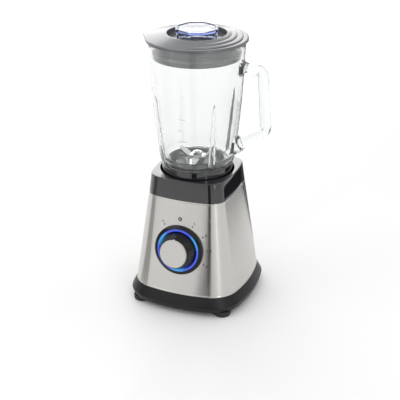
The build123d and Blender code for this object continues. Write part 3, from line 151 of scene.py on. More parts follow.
def new_finish(name, colour, gloss, size=1, tone=0.12, sheen=0.15, relief=0.01, stretch=(1, 1, 1), **sockets):
    """A finish whose tone, roughness and height vary with a grain of one size in millimetres."""
    material = bpy.data.materials.new(name)
    material.use_nodes = True
    shader = material.node_tree.nodes["Principled BSDF"]
    for socket, value in sockets.items():
        shader.inputs[socket.replace("_", " ")].default_value = value
    noise = grain(material, size, stretch)
    shades = add_node(material, "ValToRGB", {"Fac": noise})
    for stop, place, factor in zip(shades.color_ramp.elements, (0.3, 0.7), (1 - tone, 1 + tone)):
        stop.position = place
        stop.color = [min(channel * factor, 1) for channel in colour] + [1]
    ends = {"Value": noise, "To Min": gloss * (1 - sheen), "To Max": gloss * (1 + sheen)}
    rough = add_node(material, "MapRange", ends)
    bump = add_node(material, "Bump", {"Height": noise, "Strength": 1, "Distance": relief * MM})
    join = material.node_tree.links.new
    join(shades.outputs["Color"], shader.inputs["Base Color"])
    join(rough.outputs["Result"], shader.inputs["Roughness"])
    join(bump.outputs["Normal"], shader.inputs["Normal"])
    return material


foot_radius = 12.5
foot_height = 8
foot_outline = rounded([
    (0, 1.2),
    (7.5, 1.2, 0.6),
    (8.6, 0, 0.5),
    (11.6, 0, 0.7),
    (foot_radius, 2.2, 1.2),
    (foot_radius, foot_height, 0.4),
    (4, foot_height),
    (4, 14),
    (0, 14),
])
foot_reach = corners_of("rubber_feet")[1].x - foot_radius
soft_rubber = new_finish("soft black rubber", (0.018, 0.018, 0.019), 0.72, size=0.7, tone=0.3, relief=0.02)

mesh = bmesh.new()
for side_x in (-1, 1):
    for side_y in (-1, 1):
        spot = Matrix.Translation((side_x * foot_reach, side_y * foot_reach, 0))
        turned(mesh, foot_outline, spot, steps=64)
foot_set = make_piece("foot_set", mesh, soft_rubber)
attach(foot_set, "base")
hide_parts("rubber_feet")

# ---------------------------------------------------------------- bottom cover and its screws
# A flat cover of black plastic, moulded with rings of air slots, closes the base from below.
# Four long zinc plated screws clamp the whole base together and four short ones hold the cover.


def dress(material, *names):
    """Give CAD nodes a finish."""
    for name in names:
        nodes[name].material_slots[0].material = material


plain_moulding = new_finish("plain black moulding", (0.022, 0.022, 0.023), 0.55, size=0.9, relief=0.012)
zinc_plate = new_finish("zinc plate", (0.55, 0.56, 0.6), 0.32, size=0.5, tone=0.1, relief=0.004, Metallic=1)
dress(plain_moulding, "bottom_cover")
dress(zinc_plate, "long_screws", "cover_screws")

# ---------------------------------------------------------------- plinth
# The black foot of the base is one injection moulding with a fine spark-eroded texture. Its
# rounded lip stands out beyond the steel, and a liner inside locates the steel shell.

face_bow = 230  # radius that every face of the base is bowed to, in plan
# Level, half-width and corner radius of the outer skin of the base where its slope changes
base_skin = ((8, 87.5, 45), (16, 90, 45), (30, 82, 40), (168, 61.4, 23), (196, 57.9, 22))
liner_gap = 1
moulding_wall = 2.5


def skin_at(level):
    """Half-width and corner radius of the outer skin at a level."""
    for (low, *before), (high, *after) in zip(base_skin, base_skin[1:]):
        if level <= high:
            break
    share = (level - low) / (high - low)
    return [a + (b - a) * share for a, b in zip(before, after)]


def base_ring(half, level, face_steps=24, corner_steps=20):
    """Plan of the base at one level: four bowed faces this far from the axis, and round corners."""
    outer, corner = skin_at(level)
    pull = face_bow - outer
    spot = (sqrt(2 * (face_bow - corner) ** 2 - pull ** 2) - pull) / 2
    edge = atan2(spot, spot + pull)
    inset = outer - half
    arcs = [(-pull, 0, face_bow - inset, edge * (2 * step / face_steps - 1)) for step in range(face_steps)]
    arcs += [
        (spot, spot, corner - inset, edge + (pi / 2 - 2 * edge) * step / corner_steps)
        for step in range(corner_steps)
    ]
    quarter = [(x + radius * cos(turn), y + radius * sin(turn)) for x, y, radius, turn in arcs]
    ring = []
    for _ in range(4):
        ring += [(x, y, level) for x, y in quarter]
        quarter = [(-y, x) for x, y in quarter]
    return ring


def steel_half(level, inset=0):
    return skin_at(level)[0] - inset


plinth_outline = rounded([
    (87.5, 8, 1.2),
    (90, 16, 3.2),
    (82.6, 30, 0.6),
    (steel_half(30, liner_gap), 30),
    (steel_half(38, liner_gap), 38),
    (steel_half(38, liner_gap + moulding_wall), 38),
    (steel_half(30, liner_gap + moulding_wall), 29),
    (87.2, 15.5),
    (85, 8),
])
satin_moulding = new_finish(
    "satin black moulding", (0.009, 0.009, 0.0095), 0.34, size=0.55, relief=0.018, Specular_IOR_Level=0.3
)
mesh = bmesh.new()
skin(mesh, [base_ring(half, level) for half, level in plinth_outline], loop=True)
plinth = make_piece("plinth", mesh, satin_moulding)
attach(plinth, "base")
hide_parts("base_plinth")

# ---------------------------------------------------------------- cord gland and clamp
# A black rubber gland fills the hole in the back of the plinth where a cord goes in. Behind it
# a plastic bridge with two screws would clamp the cord, beside the interference capacitor.


def place_at(origin, across, outward):
    """A place whose height runs outward and whose first radius runs across, in millimetres."""
    across, outward = Vector(across), Vector(outward)
    return Matrix.Translation(origin) @ Matrix((across, outward.cross(across), outward)).transposed().to_4x4()


def combine(piece, tool, operation):
    """Cut a closed mesh out of a piece, or join it on, and keep the result as the piece's mesh."""
    other = put_in_scene("tool", tool)
    data = other.data
    step = piece.modifiers.new("combine", "BOOLEAN")
    step.object = other
    step.operation = operation
    step.solver = "EXACT"
    graph = bpy.context.evaluated_depsgraph_get()
    piece.data = bpy.data.meshes.new_from_object(piece.evaluated_get(graph))
    piece.modifiers.clear()
    piece.data.set_sharp_from_angle(angle=radians(35))
    bpy.data.objects.remove(other)
    bpy.data.meshes.remove(data)


gland_low, gland_high = corners_of("cord_gland")
gland_length = gland_high.y - gland_low.y
gland_centre = ((gland_low.x + gland_high.x) / 2, gland_low.y, (gland_low.z + gland_high.z) / 2)
gland_place = place_at(gland_centre, (1, 0, 0), (0, 1, 0))
gland_radius = 5.5
flange_foot = gland_length - 2
mesh = bmesh.new()
tube(mesh, 0, gland_radius, 0, gland_length, gland_place)
combine(plinth, mesh, "DIFFERENCE")

mesh = bmesh.new()
turned(mesh, rounded([
    (3.5, 0, 0.3),
    (gland_radius, 0, 0.3),
    (gland_radius, flange_foot),
    (7.5, flange_foot),
    (7.5, gland_length, 0.9),
    (4.8, gland_length, 0.4),
    (3.5, gland_length - 1.2, 0.4),
]), gland_place)
gland = make_piece("gland", mesh, soft_rubber)
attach(gland, "base")
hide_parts("cord_gland")

capacitor_case = new_finish("yellow capacitor case", (0.62, 0.5, 0.16), 0.4, size=2, tone=0.06)
dress(plain_moulding, "cord_clamp")
dress(zinc_plate, "clamp_screws")
dress(capacitor_case, "suppression_capacitor")

# ---------------------------------------------------------------- motor
# A universal motor hangs under the well on four rubber mounts. Two die cast brackets hold the
# bronze bearings and clamp the stack of steel laminations between them with four long bolts.

cast_metal = new_finish(
    "die cast alloy", (0.5, 0.51, 0.53), 0.5, size=1.6, tone=0.15, relief=0.05, Metallic=1
)
bearing_bronze = new_finish("sintered bronze", (0.5, 0.33, 0.14), 0.42, size=0.3, tone=0.2, Metallic=1)
ground_steel = new_finish("ground steel", (0.62, 0.62, 0.63), 0.18, size=0.3, stretch=(1, 1, 20), Metallic=1)
stacked_steel = new_finish(
    "stacked laminations", (0.2, 0.21, 0.24), 0.45, size=0.5, tone=0.35, relief=0.08, stretch=(60, 60, 1),
    Metallic=1,
)
wound_copper = new_finish(
    "enamelled copper wire", (0.45, 0.14, 0.05), 0.28, size=0.45, tone=0.4, relief=0.15, stretch=(12, 12, 1),
    Metallic=1,
)
dress(soft_rubber, "motor_mounts")
dress(zinc_plate, "mount_screws", "motor_bolts")
dress(cast_metal, "upper_bracket", "lower_bracket")
dress(bearing_bronze, "upper_bearing", "lower_bearing")
dress(stacked_steel, "stator_core", "armature_core")
dress(wound_copper, "field_coils", "armature_windings")
dress(ground_steel, "motor_shaft")

# ---------------------------------------------------------------- brush gear and fan
# Two carbon brushes run in brass holders, each pushed on to the copper bars of the commutator by
# a coil spring. A white nylon fan on the foot of the shaft draws air through a plastic duct.

turned_copper = new_finish(
    "turned copper bars", (0.6, 0.26, 0.13), 0.25, size=0.4, stretch=(1, 1, 0.3), Metallic=1
)
pressed_carbon = new_finish("pressed carbon", (0.03, 0.03, 0.032), 0.6, size=0.35, tone=0.4, relief=0.03)
stamped_brass = new_finish("stamped brass", (0.62, 0.44, 0.16), 0.3, size=1.2, Metallic=1)
spring_wire = new_finish("spring wire", (0.42, 0.42, 0.44), 0.3, size=0.4, Metallic=1)
white_nylon = new_finish("white nylon", (0.76, 0.76, 0.72), 0.42, size=1.5, tone=0.05)
dress(turned_copper, "commutator")
dress(pressed_carbon, "carbon_brushes")
dress(stamped_brass, "brush_holders")
dress(spring_wire, "brush_springs")
dress(white_nylon, "cooling_fan")
dress(plain_moulding, "fan_shroud")

# ---------------------------------------------------------------- top housing with the jug's well
# One glossy charcoal moulding makes the band round the top of the base and the well the jug
# stands in. Four keys in the well's corner hold the jug still, and bosses below take the screws.

band_foot, base_top = 168, 196
well_floor, floor_under = 176, 173.5
skirt_foot = 160
well_radius, mouth_radius = 51.7, 53
seal_hole = 11
screw_reach, mount_reach, key_reach = 44, 50, 47.5
key_size = (3, 7, 5)


def round_ring(like, radius, level):
    """A circle with a point under each point of another ring."""
    spots = [(x / hypot(x, y), y / hypot(x, y)) for x, y, _ in like]
    return [(radius * x, radius * y, level) for x, y in spots]


def soft_block(mesh, size, radius, place):
    """A block standing on its place, with rounded upright edges and a rounded top."""
    width, depth, height = size
    softening = radius * 0.3
    rings = []
    for level, inset in ((0, 0), (height - radius, 0), (height - softening, softening), (height, radius)):
        x, y = width / 2 - inset, depth / 2 - inset
        outline = rounded([(x, y, radius), (-x, y, radius), (-x, -y, radius), (x, -y, radius)], steps=3)
        rings.append([(*point, level) for point in outline])
    skin(mesh, rings, capped=True, place=place)


outside = rounded([
    (steel_half(skirt_foot, 5), skirt_foot),
    (steel_half(skirt_foot, liner_gap), skirt_foot, 0.5),
    (steel_half(band_foot, liner_gap), band_foot),
    (steel_half(band_foot), band_foot, 0.5),
    (steel_half(base_top), base_top, 1.0),
    (mouth_radius, base_top),
])[1:-1]
well = rounded([
    (steel_half(base_top), base_top),
    (mouth_radius, base_top, 0.8),
    (well_radius, well_floor, 2),
    (seal_hole, well_floor),
    (seal_hole, floor_under),
    (well_radius + 2, floor_under),
])[1:]
inside = [
    (steel_half(floor_under, liner_gap + moulding_wall), floor_under),
    (steel_half(skirt_foot, liner_gap + moulding_wall), skirt_foot),
]
top_ring = base_ring(steel_half(base_top), base_top)
gloss_charcoal = new_finish(
    "gloss charcoal moulding", (0.011, 0.011, 0.014), 0.07, size=14, tone=0.05, relief=0.02, Coat_Weight=0.8
)
mesh = bmesh.new()
skin(
    mesh,
    [base_ring(half, level) for half, level in outside]
    + [round_ring(top_ring, radius, level) for radius, level in well]
    + [base_ring(half, level) for half, level in inside],
    loop=True,
)
for side_x, side_y in ((1, 1), (1, -1), (-1, 1), (-1, -1)):
    spot = Matrix.Translation((screw_reach * side_x, screw_reach * side_y, 0))
    tube(mesh, 0, 5, floor_under - 14, floor_under, spot, steps=32)
for quarter in range(4):
    turn = Matrix.Rotation(pi / 4 + quarter * pi / 2, 4, "Z")
    spot = turn @ Matrix.Translation((mount_reach, 0, 0))
    tube(mesh, 0, 7, floor_under - 13.5, floor_under, spot, steps=32)
    key_spot = Matrix.Translation((key_reach + key_size[0] / 2, 0, well_floor - 0.2))
    soft_block(mesh, key_size, 0.6, turn @ key_spot)
housing = make_piece("housing", mesh, gloss_charcoal)
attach(housing, "base")
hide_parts("top_housing")

# ---------------------------------------------------------------- fittings in the well
# Rubber pads under the jug's collar, a rubber seal round the shaft, the six-toothed drive dog,
# and a white pin that the jug presses down so that the motor can run.

pad_low, pad_high = corners_of("seat_pads")
pad_reach = 49
pad_radius = 2.5
pad_turn = radians(20)
mesh = bmesh.new()
for quarter in range(4):
    spot = Matrix.Rotation(pad_turn + quarter * pi / 2, 4, "Z") @ Matrix.Translation((pad_reach, 0, 0))
    turned(mesh, rounded([
        (0, pad_low.z),
        (pad_radius, pad_low.z),
        (pad_radius, pad_high.z, 0.6),
        (0, pad_high.z),
    ]), spot, steps=40)
pads = make_piece("pads", mesh, soft_rubber)
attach(pads, "base")
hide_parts("seat_pads")

seal_low, seal_high = corners_of("shaft_seal")
mesh = bmesh.new()
turned(mesh, rounded([
    (4.05, seal_low.z),
    (seal_hole, seal_low.z),
    (seal_hole, well_floor),
    (13, well_floor),
    (13, seal_high.z, 0.7),
    (8, seal_high.z, 0.5),
    (7, seal_high.z - 0.8, 0.3),
    (5.5, seal_high.z, 0.4),
    (4.05, seal_high.z, 0.2),
]))
seal = make_piece("seal", mesh, soft_rubber)
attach(seal, "base")
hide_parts("shaft_seal")

dress(plain_moulding, "drive_dog", "interlock_switch")
dress(white_nylon, "interlock_pin")
dress(spring_wire, "interlock_spring")

# ---------------------------------------------------------------- steel shell
# The outside of the base is one sheet of stainless steel, rolled to four bowed faces, brushed
# level all the way round, and hemmed with a fine bead along its top and its foot.

steel_sheet = 0.8
steel_foot, steel_top = 30, 168
bead = 0.4


def mixed(material, factor, first, second, blend="MIX"):
    """Mix two colours, each a socket or a colour, and give the socket of the result."""
    both = add_node(material, "Mix", {"Factor": factor}, data_type="RGBA", blend_type=blend)
    ends = [socket for socket in both.inputs if socket.type == "RGBA"]
    for end, colour in zip(ends, (first, second)):
        if isinstance(colour, bpy.types.NodeSocket):
            material.node_tree.links.new(colour, end)
        else:
            end.default_value = colour
    return [socket for socket in both.outputs if socket.type == "RGBA"][0]


def brushed(name, colour, gloss, across, **sockets):
    """Steel with fine level brush marks, broad faint bands of them, and polish that varies."""
    marks = {"size": 0.3, "tone": 0.03, "sheen": 0.12, "relief": 0.0015, "stretch": (*across, 1)}
    steel = new_finish(name, colour, gloss, **marks, Metallic=1, **sockets)
    shader = steel.node_tree.nodes["Principled BSDF"]
    fine = shader.inputs["Base Color"].links[0].from_socket
    bands = grain(steel, 3.2, (across[0] / 6, across[1] / 6, 1), detail=3)
    bands = add_node(steel, "MapRange", {"Value": bands, "From Min": 0.3, "From Max": 0.7, "To Min": 0.975})
    bands = {channel: bands.outputs["Result"] for channel in ("Red", "Green", "Blue")}
    bands = add_node(steel, "CombineColor", bands).outputs["Color"]
    steel.node_tree.links.new(mixed(steel, 1, fine, bands, "MULTIPLY"), shader.inputs["Base Color"])
    return steel


brushed_steel = brushed(
    "brushed stainless steel", (0.6, 0.585, 0.56), 0.25, (200, 200),
    Anisotropic=0.8, Anisotropic_Rotation=0.25,
)
shell_outline = rounded([
    (steel_half(steel_foot) + bead, steel_foot, 0.35),
    (steel_half(steel_foot + 1.6) + bead, steel_foot + 1.6, 0.6),
    (steel_half(steel_foot + 2.3), steel_foot + 2.3, 0.4),
    (steel_half(steel_top - 2.3), steel_top - 2.3, 0.4),
    (steel_half(steel_top - 1.6) + bead, steel_top - 1.6, 0.6),
    (steel_half(steel_top) + bead, steel_top, 0.35),
    (steel_half(steel_top, steel_sheet), steel_top, 0.2),
    (steel_half(steel_foot, steel_sheet), steel_foot, 0.2),
], steps=4)
mesh = bmesh.new()
skin(mesh, [base_ring(half, level, 36, 24) for half, level in shell_outline], loop=True)
shell = make_piece("steel_shell", mesh, brushed_steel)

face_rise = 138  # height of the steel face, and how far it leans back over that height
face_lean = 20.6
face_up = Vector((0, face_lean, face_rise)) / hypot(face_lean, face_rise)
face_out = Vector((0, -face_rise, face_lean)) / hypot(face_lean, face_rise)
knob_height, knob_hole = 66.8, 34
knob_centre = Vector((0, -82, steel_foot)) + face_up * knob_height
knob_place = place_at(knob_centre, (1, 0, 0), face_out)
mesh = bmesh.new()
tube(mesh, 0, knob_hole, -9, 9, knob_place, steps=128)
combine(shell, mesh, "DIFFERENCE")
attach(shell, "base")
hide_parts("steel_shroud")

# ---------------------------------------------------------------- bezel and lit ring
# A glossy black ring is pressed into the hole in the steel, its foot shaped to the bowed face.
# Inside it a frosted ring is lit blue by three lamps, and glows cyan in front of each of them.

bezel_radius = 36.5
plug_radius = 33.8
ring_outside, ring_inside = 31.2, 28.2
hub_hole = 4.7


def turned_on_face(mesh, profile, steps=180):
    """Turn (radius, height, follows) points about the knob's axis; followers keep to the bowed face."""
    spokes = [(cos(turn), sin(turn)) for turn in around(steps)]
    rings = [
        [(radius * x, radius * y, height - follows * (radius * x) ** 2 / 2 / face_bow) for x, y in spokes]
        for radius, height, follows in profile
    ]
    skin(mesh, rings, loop=True, place=knob_place)


bezel_outline = rounded([
    (bezel_radius, 0),
    (bezel_radius, 1.0, 0.5),
    (ring_outside + 0.1, 4.0, 0.5),
    (ring_outside, -3),
    (hub_hole, -3),
    (hub_hole, -5),
    (ring_outside, -5),
    (ring_outside, -8),
    (plug_radius, -8),
])
gloss_black = new_finish(
    "gloss black moulding", (0.005, 0.005, 0.006), 0.14, size=9, tone=0.05, relief=0.015,
    Specular_IOR_Level=0.3,
)
mesh = bmesh.new()
turned_on_face(mesh, [
    (bezel_radius, -0.05, 1),
    *[(radius, height, 0) for radius, height in bezel_outline[1:]],
    (plug_radius, -0.05, 1),
])
bezel = make_piece("bezel", mesh, gloss_black)
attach(bezel, "base")
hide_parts("knob_bezel")

lamp_turns = (-60, 60, 180)  # clockwise from the top
ring_glow = new_finish("lit blue ring", (0.05, 0.08, 0.5), 0.3, size=1.2, tone=0.08)
place = add_node(ring_glow, "TexCoord").outputs["Object"]
spoke = add_node(ring_glow, "VectorMath", operation="SUBTRACT")
ring_glow.node_tree.links.new(place, spoke.inputs[0])
spoke.inputs[1].default_value = knob_centre * MM
spoke = add_node(ring_glow, "VectorMath", {"Vector": spoke.outputs["Vector"]}, operation="NORMALIZE")
glow = 0
for lamp_turn in lamp_turns:
    beam = add_node(ring_glow, "VectorMath", operation="DOT_PRODUCT")
    ring_glow.node_tree.links.new(spoke.outputs["Vector"], beam.inputs[0])
    beam.inputs[1].default_value = Vector((sin(radians(lamp_turn)), 0, 0)) + face_up * cos(radians(lamp_turn))
    near = {"Value": beam.outputs["Value"], "From Min": cos(radians(36)), "From Max": 1}
    near = add_node(ring_glow, "MapRange", near, interpolation_type="SMOOTHERSTEP").outputs["Result"]
    total = add_node(ring_glow, "Math", operation="MAXIMUM")
    ring_glow.node_tree.links.new(near, total.inputs[0])
    if glow:
        ring_glow.node_tree.links.new(glow, total.inputs[1])
    glow = total.outputs["Value"]
colours = add_node(ring_glow, "ValToRGB", {"Fac": glow})
colours.color_ramp.elements[0].color = (0.09, 0.06, 0.55, 1)
colours.color_ramp.elements[1].color = (0.05, 0.6, 0.95, 1)
middle = colours.color_ramp.elements.new(0.5)
middle.color = (0.04, 0.1, 0.8, 1)
shader = ring_glow.node_tree.nodes["Principled BSDF"]
ring_glow.node_tree.links.new(colours.outputs["Color"], shader.inputs["Emission Color"])
shader.inputs["Emission Strength"].default_value = 0.42
mesh = bmesh.new()
turned_on_face(mesh, [
    (radius, height, 0)
    for radius, height in rounded([
        (ring_inside, -3),
        (ring_outside - 0.05, -3),
        (ring_outside - 0.05, 4.1, 0.5),
        (ring_inside, 4.1, 0.5),
    ])
])
lit_ring = make_piece("lit_ring", mesh, ring_glow)
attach(lit_ring, "base")
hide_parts("light_ring")

lamp_glow = new_finish("blue lamp", (0.1, 0.6, 1), 0.3, Emission_Color=(0.1, 0.6, 1, 1), Emission_Strength=2)
board_green = new_finish("green circuit board", (0.02, 0.16, 0.05), 0.35, size=2.5, tone=0.2)
dress(lamp_glow, "ring_leds")
dress(board_green, "led_board")
dress(plain_moulding, "switch_body")
dress(zinc_plate, "switch_nut", "switch_spindle")

# ---------------------------------------------------------------- speed knob
# A glossy black knob is pushed on to the switch's spindle. A raised ridge runs up its side to a
# brushed steel disc, which is let into its face and comes to a small point at the ridge.

knob_foot, knob_face = 2, 20
disc_radius = 20.5
disc_foot = 19.2
ridge_half_turn = radians(5.5)
knob_outline = rounded([
    (0, knob_foot),
    (26.6, knob_foot, 0.6),
    (26.6, 5, 1.5),
    (21.7, 19.0, 0.9),
    (disc_radius + 0.3, knob_face, 0.2),
    (disc_radius + 0.2, disc_foot),
    (0, disc_foot),
])


def ridge_at(turn, height):
    """How far the pointer's ridge stands out of the knob's side."""
    away = abs((turn - pi / 2 + pi) % (2 * pi) - pi) / ridge_half_turn
    side = min(max((1.35 - away) / 0.5, 0), 1)
    climb = min(max((height - 4) / 15, 0), 1)
    return 2.1 * climb * side * side * (3 - 2 * side)


def knob_side(radius, height):
    """One ring of the knob; outside the disc it carries the pointer's ridge."""
    ridged = radius > disc_radius and height > disc_foot - 15
    reaches = [radius + (ridge_at(turn, height) if ridged else 0) for turn in knob_turns]
    return [(reach * cos(turn), reach * sin(turn), height) for reach, turn in zip(reaches, knob_turns)]


knob_turns = around(480)
mesh = bmesh.new()
skin(mesh, [knob_side(radius, height) for radius, height in knob_outline], loop=True, place=knob_place)
knob = make_piece("knob", mesh, gloss_black)
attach(knob, "speed_knob")
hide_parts("knob_body")


def disc_ring(inset, height):
    """Edge of the steel disc, with its small point at the top."""
    ring = []
    for turn in knob_turns:
        across, up = cos(turn), sin(turn)
        reach = disc_radius - inset
        if up > 0 and abs(across) < 0.12:
            reach = max(reach, (disc_radius + 1.6 - inset) / (up + abs(across) * 0.95))
        ring.append((reach * across, reach * up, height))
    return ring


disc_steel = brushed(
    "brushed steel disc", (0.6, 0.585, 0.565), 0.26, (60, 60), Anisotropic=0.6, Anisotropic_Rotation=0.25
)
disc_edge = ((0, disc_foot), (0, knob_face - 0.05), (0.25, knob_face + 0.1), (3, knob_face + 0.1))
mesh = bmesh.new()
skin(mesh, [disc_ring(inset, height) for inset, height in disc_edge], capped=True, place=knob_place)
disc = make_piece("knob_disc", mesh, disc_steel)
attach(disc, "speed_knob")
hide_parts("knob_cap")

# ---------------------------------------------------------------- dial marks
# Marks printed in dark grey ink round the knob: a dot and a number for each of four speeds, a
# ring for off at the top, and a square wave to its left for short bursts.

mark_radius, number_radius = 41.5, 46.6
print_depth = 0.08
speed_turns, burst_turn = (27, 56, 85, 115), -35  # clockwise from the top
dot_radius = 1.1
marks = bmesh.new()


def on_dial(turn, radius):
    """Spot on the dial at so many degrees clockwise from the top."""
    return Matrix.Translation((radius * sin(radians(turn)), radius * cos(radians(turn)), 0))


def print_bar(low, high):
    """A flat bar of ink between two corners."""
    (x0, y0), (x1, y1) = low, high
    ring = [(x0, y0), (x1, y0), (x1, y1), (x0, y1)]
    skin(marks, [[(x, y, height) for x, y in ring] for height in (-print_depth, print_depth)], capped=True)


def print_dot(turn):
    tube(marks, 0, dot_radius, -print_depth, print_depth, on_dial(turn, mark_radius), steps=24)


for number, turn in enumerate(speed_turns, start=1):
    print_dot(turn)
    writing = bpy.data.curves.new("number", "FONT")
    writing.body = str(number)
    writing.size = 5.6
    writing.offset = 0.12
    writing.align_x = writing.align_y = "CENTER"
    writing.extrude = print_depth
    writing_object = bpy.data.objects.new("number", writing)
    written = bpy.data.meshes.new_from_object(writing_object)
    written.transform(Matrix.Scale(MM, 4) @ on_dial(turn, number_radius))
    marks.from_mesh(written)
    bpy.data.objects.remove(writing_object)
    bpy.data.curves.remove(writing)
    bpy.data.meshes.remove(written)
print_dot(burst_turn)
tube(marks, dot_radius, 2.9, -print_depth, print_depth, on_dial(0, 45.8), steps=40)
wave_x, wave_y, _ = on_dial(burst_turn, number_radius).translation
for low, high in (
    ((-2.6, -1.3), (-1.1, -0.8)),
    ((-1.6, -1.3), (-1.1, 1.3)),
    ((-1.6, 0.8), (1.6, 1.3)),
    ((1.1, -1.3), (1.6, 1.3)),
    ((1.1, -1.3), (2.6, -0.8)),
):
    print_bar((wave_x + low[0], wave_y + low[1]), (wave_x + high[0], wave_y + high[1]))
for vertex in marks.verts:
    across, up, depth = vertex.co / MM
    level = knob_centre.z + up * face_up.z
    pull = face_bow - steel_half(level)
    vertex.co = Vector((across, pull - sqrt(face_bow ** 2 - across ** 2) - depth, level)) * MM
dark_ink = new_finish("dark grey ink", (0.03, 0.03, 0.032), 0.5, size=0.3, tone=0.2, relief=0.003)
dial_marks = make_piece("dial_marks", marks, dark_ink)
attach(dial_marks, "base")

# ---------------------------------------------------------------- glass jug
# A heavy jug of clear pressed glass with a faint green edge. The handle, the pouring lip, four
# ribs inside that turn the flow, and a scale of raised ticks are all pressed in one with it.

neck_radius, neck_foot = 44, 190
shoulder, heel, brim, rim = (49.5, 208.6), (53.5, 217.2), (66.6, 375), (67.4, 383)
middle_radius, middle_level = 61, 283.2
glass_wall = 4
opening_radius, bowl_floor = 38.5, 210.6
rim_round = 1.7
lip_half_width, lip_softness = 16, 2
lip_start, lip_low, lip_run, lip_rise = 335, (46.6, 353), 13.3, 30  # the lip's centre leans outward
rib_rise, rib_softness = 92, 0.8
rib_centre, rib_lean = 47.25, 10.7
rib_foot_radius, rib_taper, rib_end = 4.5, 3, 0.06


def arc_radius(low, middle, high):
    """Radius of a wall at any height, where the wall is an arc through three (radius, height) points."""
    points = (low, middle, high)
    (ax, ay), (bx, by), (cx, cy) = points
    squares = [x * x + y * y for x, y in points]
    slack = 2 * (ax * (by - cy) + bx * (cy - ay) + cx * (ay - by))
    x = (squares[0] * (by - cy) + squares[1] * (cy - ay) + squares[2] * (ay - by)) / slack
    y = (squares[0] * (cx - bx) + squares[1] * (ax - cx) + squares[2] * (bx - ax)) / slack
    return lambda level: x + sqrt((ax - x) ** 2 + (ay - y) ** 2 - (level - y) ** 2)


def steps_between(low, high, size):
    count = round((high - low) / size)
    return [low + (high - low) * step / count for step in range(count + 1)]


def blend_max(a, b, softness):
    """The larger of two reaches, with the corner between them rounded."""
    return (a + b + sqrt((a - b) ** 2 + softness ** 2)) / 2


tick_levels = [238 + 16.5 * step for step in range(7)]
tick_height, tick_stand = 0.9, 0.4
tick_start = radians(-94)


def tick_at(turn, level):
    """How far the scale stands out of the glass: every other tick is long."""
    for index, spot in enumerate(tick_levels):
        length = radians(11 if index % 2 else 6.5)
        if abs(level - spot) < tick_height / 2 and 0 < (turn - tick_start) % (2 * pi) < length:
            return tick_stand
    return 0


def lip_reach(turn, level, width):
    """How far the pouring lip comes out on the -X side; the lip is a round funnel of this half-width."""
    centre = lip_low[0] + (level - lip_low[1]) * lip_run / lip_rise
    aside = abs(centre * sin(turn))
    if cos(turn) > -0.3 or level < lip_start:
        return 0
    if aside >= width:
        return -centre * cos(turn) - 2 * (aside - width)
    return -centre * cos(turn) + sqrt(width ** 2 - aside ** 2)


def rib_reach(turn, level):
    """Distance from the axis to the crest of the nearest rib inside the jug."""
    share = (level - bowl_floor) / rib_rise
    if not 0 <= share <= 1 + rib_end:
        return 100
    away = (turn % (pi / 2)) - pi / 4
    centre = rib_centre + rib_lean * share
    radius = (rib_foot_radius - rib_taper * share) * min(1, (1 + rib_end - share) / rib_end)
    aside = abs(centre * sin(away))
    if aside >= radius:
        return centre * cos(away) + 3 * (aside - radius)
    return centre * cos(away) - sqrt(radius ** 2 - aside ** 2)


outer_radius = arc_radius(heel, (middle_radius, middle_level), brim)
inner_heel = (heel[0] - glass_wall, heel[1] + glass_wall)
inner_radius = arc_radius(
    inner_heel, (middle_radius - glass_wall, middle_level), (brim[0] - glass_wall, brim[1])
)
tick_shares = (-0.7, -0.3, 0.3, 0.7)
tick_edges = [spot + tick_height * share for spot in tick_levels for share in tick_shares]
heel_turn = arc_radius(shoulder, (52.3, 212.1), heel)
bowl_turn = arc_radius((opening_radius + 1, bowl_floor), (45.6, 214.3), inner_heel)
rim_turns = [radians(15 * step) for step in range(7)]
outer_line = [(0, neck_foot), *rounded([
    (0, neck_foot),
    (neck_radius, neck_foot, 1),
    (neck_radius, 192),
    (neck_radius + 0.8, 193),
    (neck_radius, 194),
    (neck_radius, 196),
    (neck_radius + 0.8, 197),
    (neck_radius, 198),
    (neck_radius, 207.8, 0.5),
    shoulder,
    (0, 230),
])[1:-2]]
outer_line += [(heel_turn(level), level) for level in steps_between(shoulder[1], heel[1] - 0.9, 0.8)]
outer_line += [
    (outer_radius(level), level)
    for level in sorted(steps_between(heel[1], brim[1], 2.4) + tick_edges)
]
rim_centre = (rim[0] - rim_round, rim[1] - rim_round)
outer_line += [
    (rim_centre[0] + rim_round * cos(turn), rim_centre[1] + rim_round * sin(turn)) for turn in rim_turns
]
outer_line.append((0, rim[1]))
inner_line = [(0, neck_foot - 1), (opening_radius, neck_foot - 1), (opening_radius, bowl_floor - 1)]
inner_line.append((opening_radius + 0.3, bowl_floor - 0.3))
inner_line += [(bowl_turn(level), level) for level in steps_between(bowl_floor, inner_heel[1] - 0.9, 0.7)]
inner_line += [(inner_radius(level), level) for level in steps_between(inner_heel[1], brim[1], 2.4)]
inner_line += [
    (rim[0] - glass_wall + rim_round * (1 - cos(turn)), rim[1] - rim_round + rim_round * sin(turn))
    for turn in rim_turns
]
inner_line += [(rim[0] - glass_wall + rim_round, rim[1] + 2), (0, rim[1] + 2)]


def outside_at(turn, radius, level):
    """Reach of the jug's outside, with its pouring lip and its scale."""
    if radius == 0:
        return 0
    rounding = max(rim[0] - radius - 1, 0) if level > rim[1] - 2 else 0
    reach = blend_max(radius, lip_reach(turn, level, lip_half_width) - rounding, lip_softness)
    return reach + tick_at(turn, level)


def inside_at(turn, radius, level):
    """Reach of the jug's inside, with its pouring lip and its ribs."""
    if radius <= opening_radius:
        return radius
    reach = blend_max(radius, lip_reach(turn, level, lip_half_width - glass_wall), lip_softness)
    return -blend_max(-reach, -rib_reach(turn, level), rib_softness)


def jug_skin(mesh, reach_at, line):
    """Close a mesh round the jug's axis, from a reach in each direction at each level."""
    rings = []
    for radius, level in line:
        spots = [(reach_at(turn, radius, level), turn) for turn in jug_turns]
        rings.append([(reach * cos(turn), reach * sin(turn), level) for reach, turn in spots])
    skin(mesh, rings, loop=True)


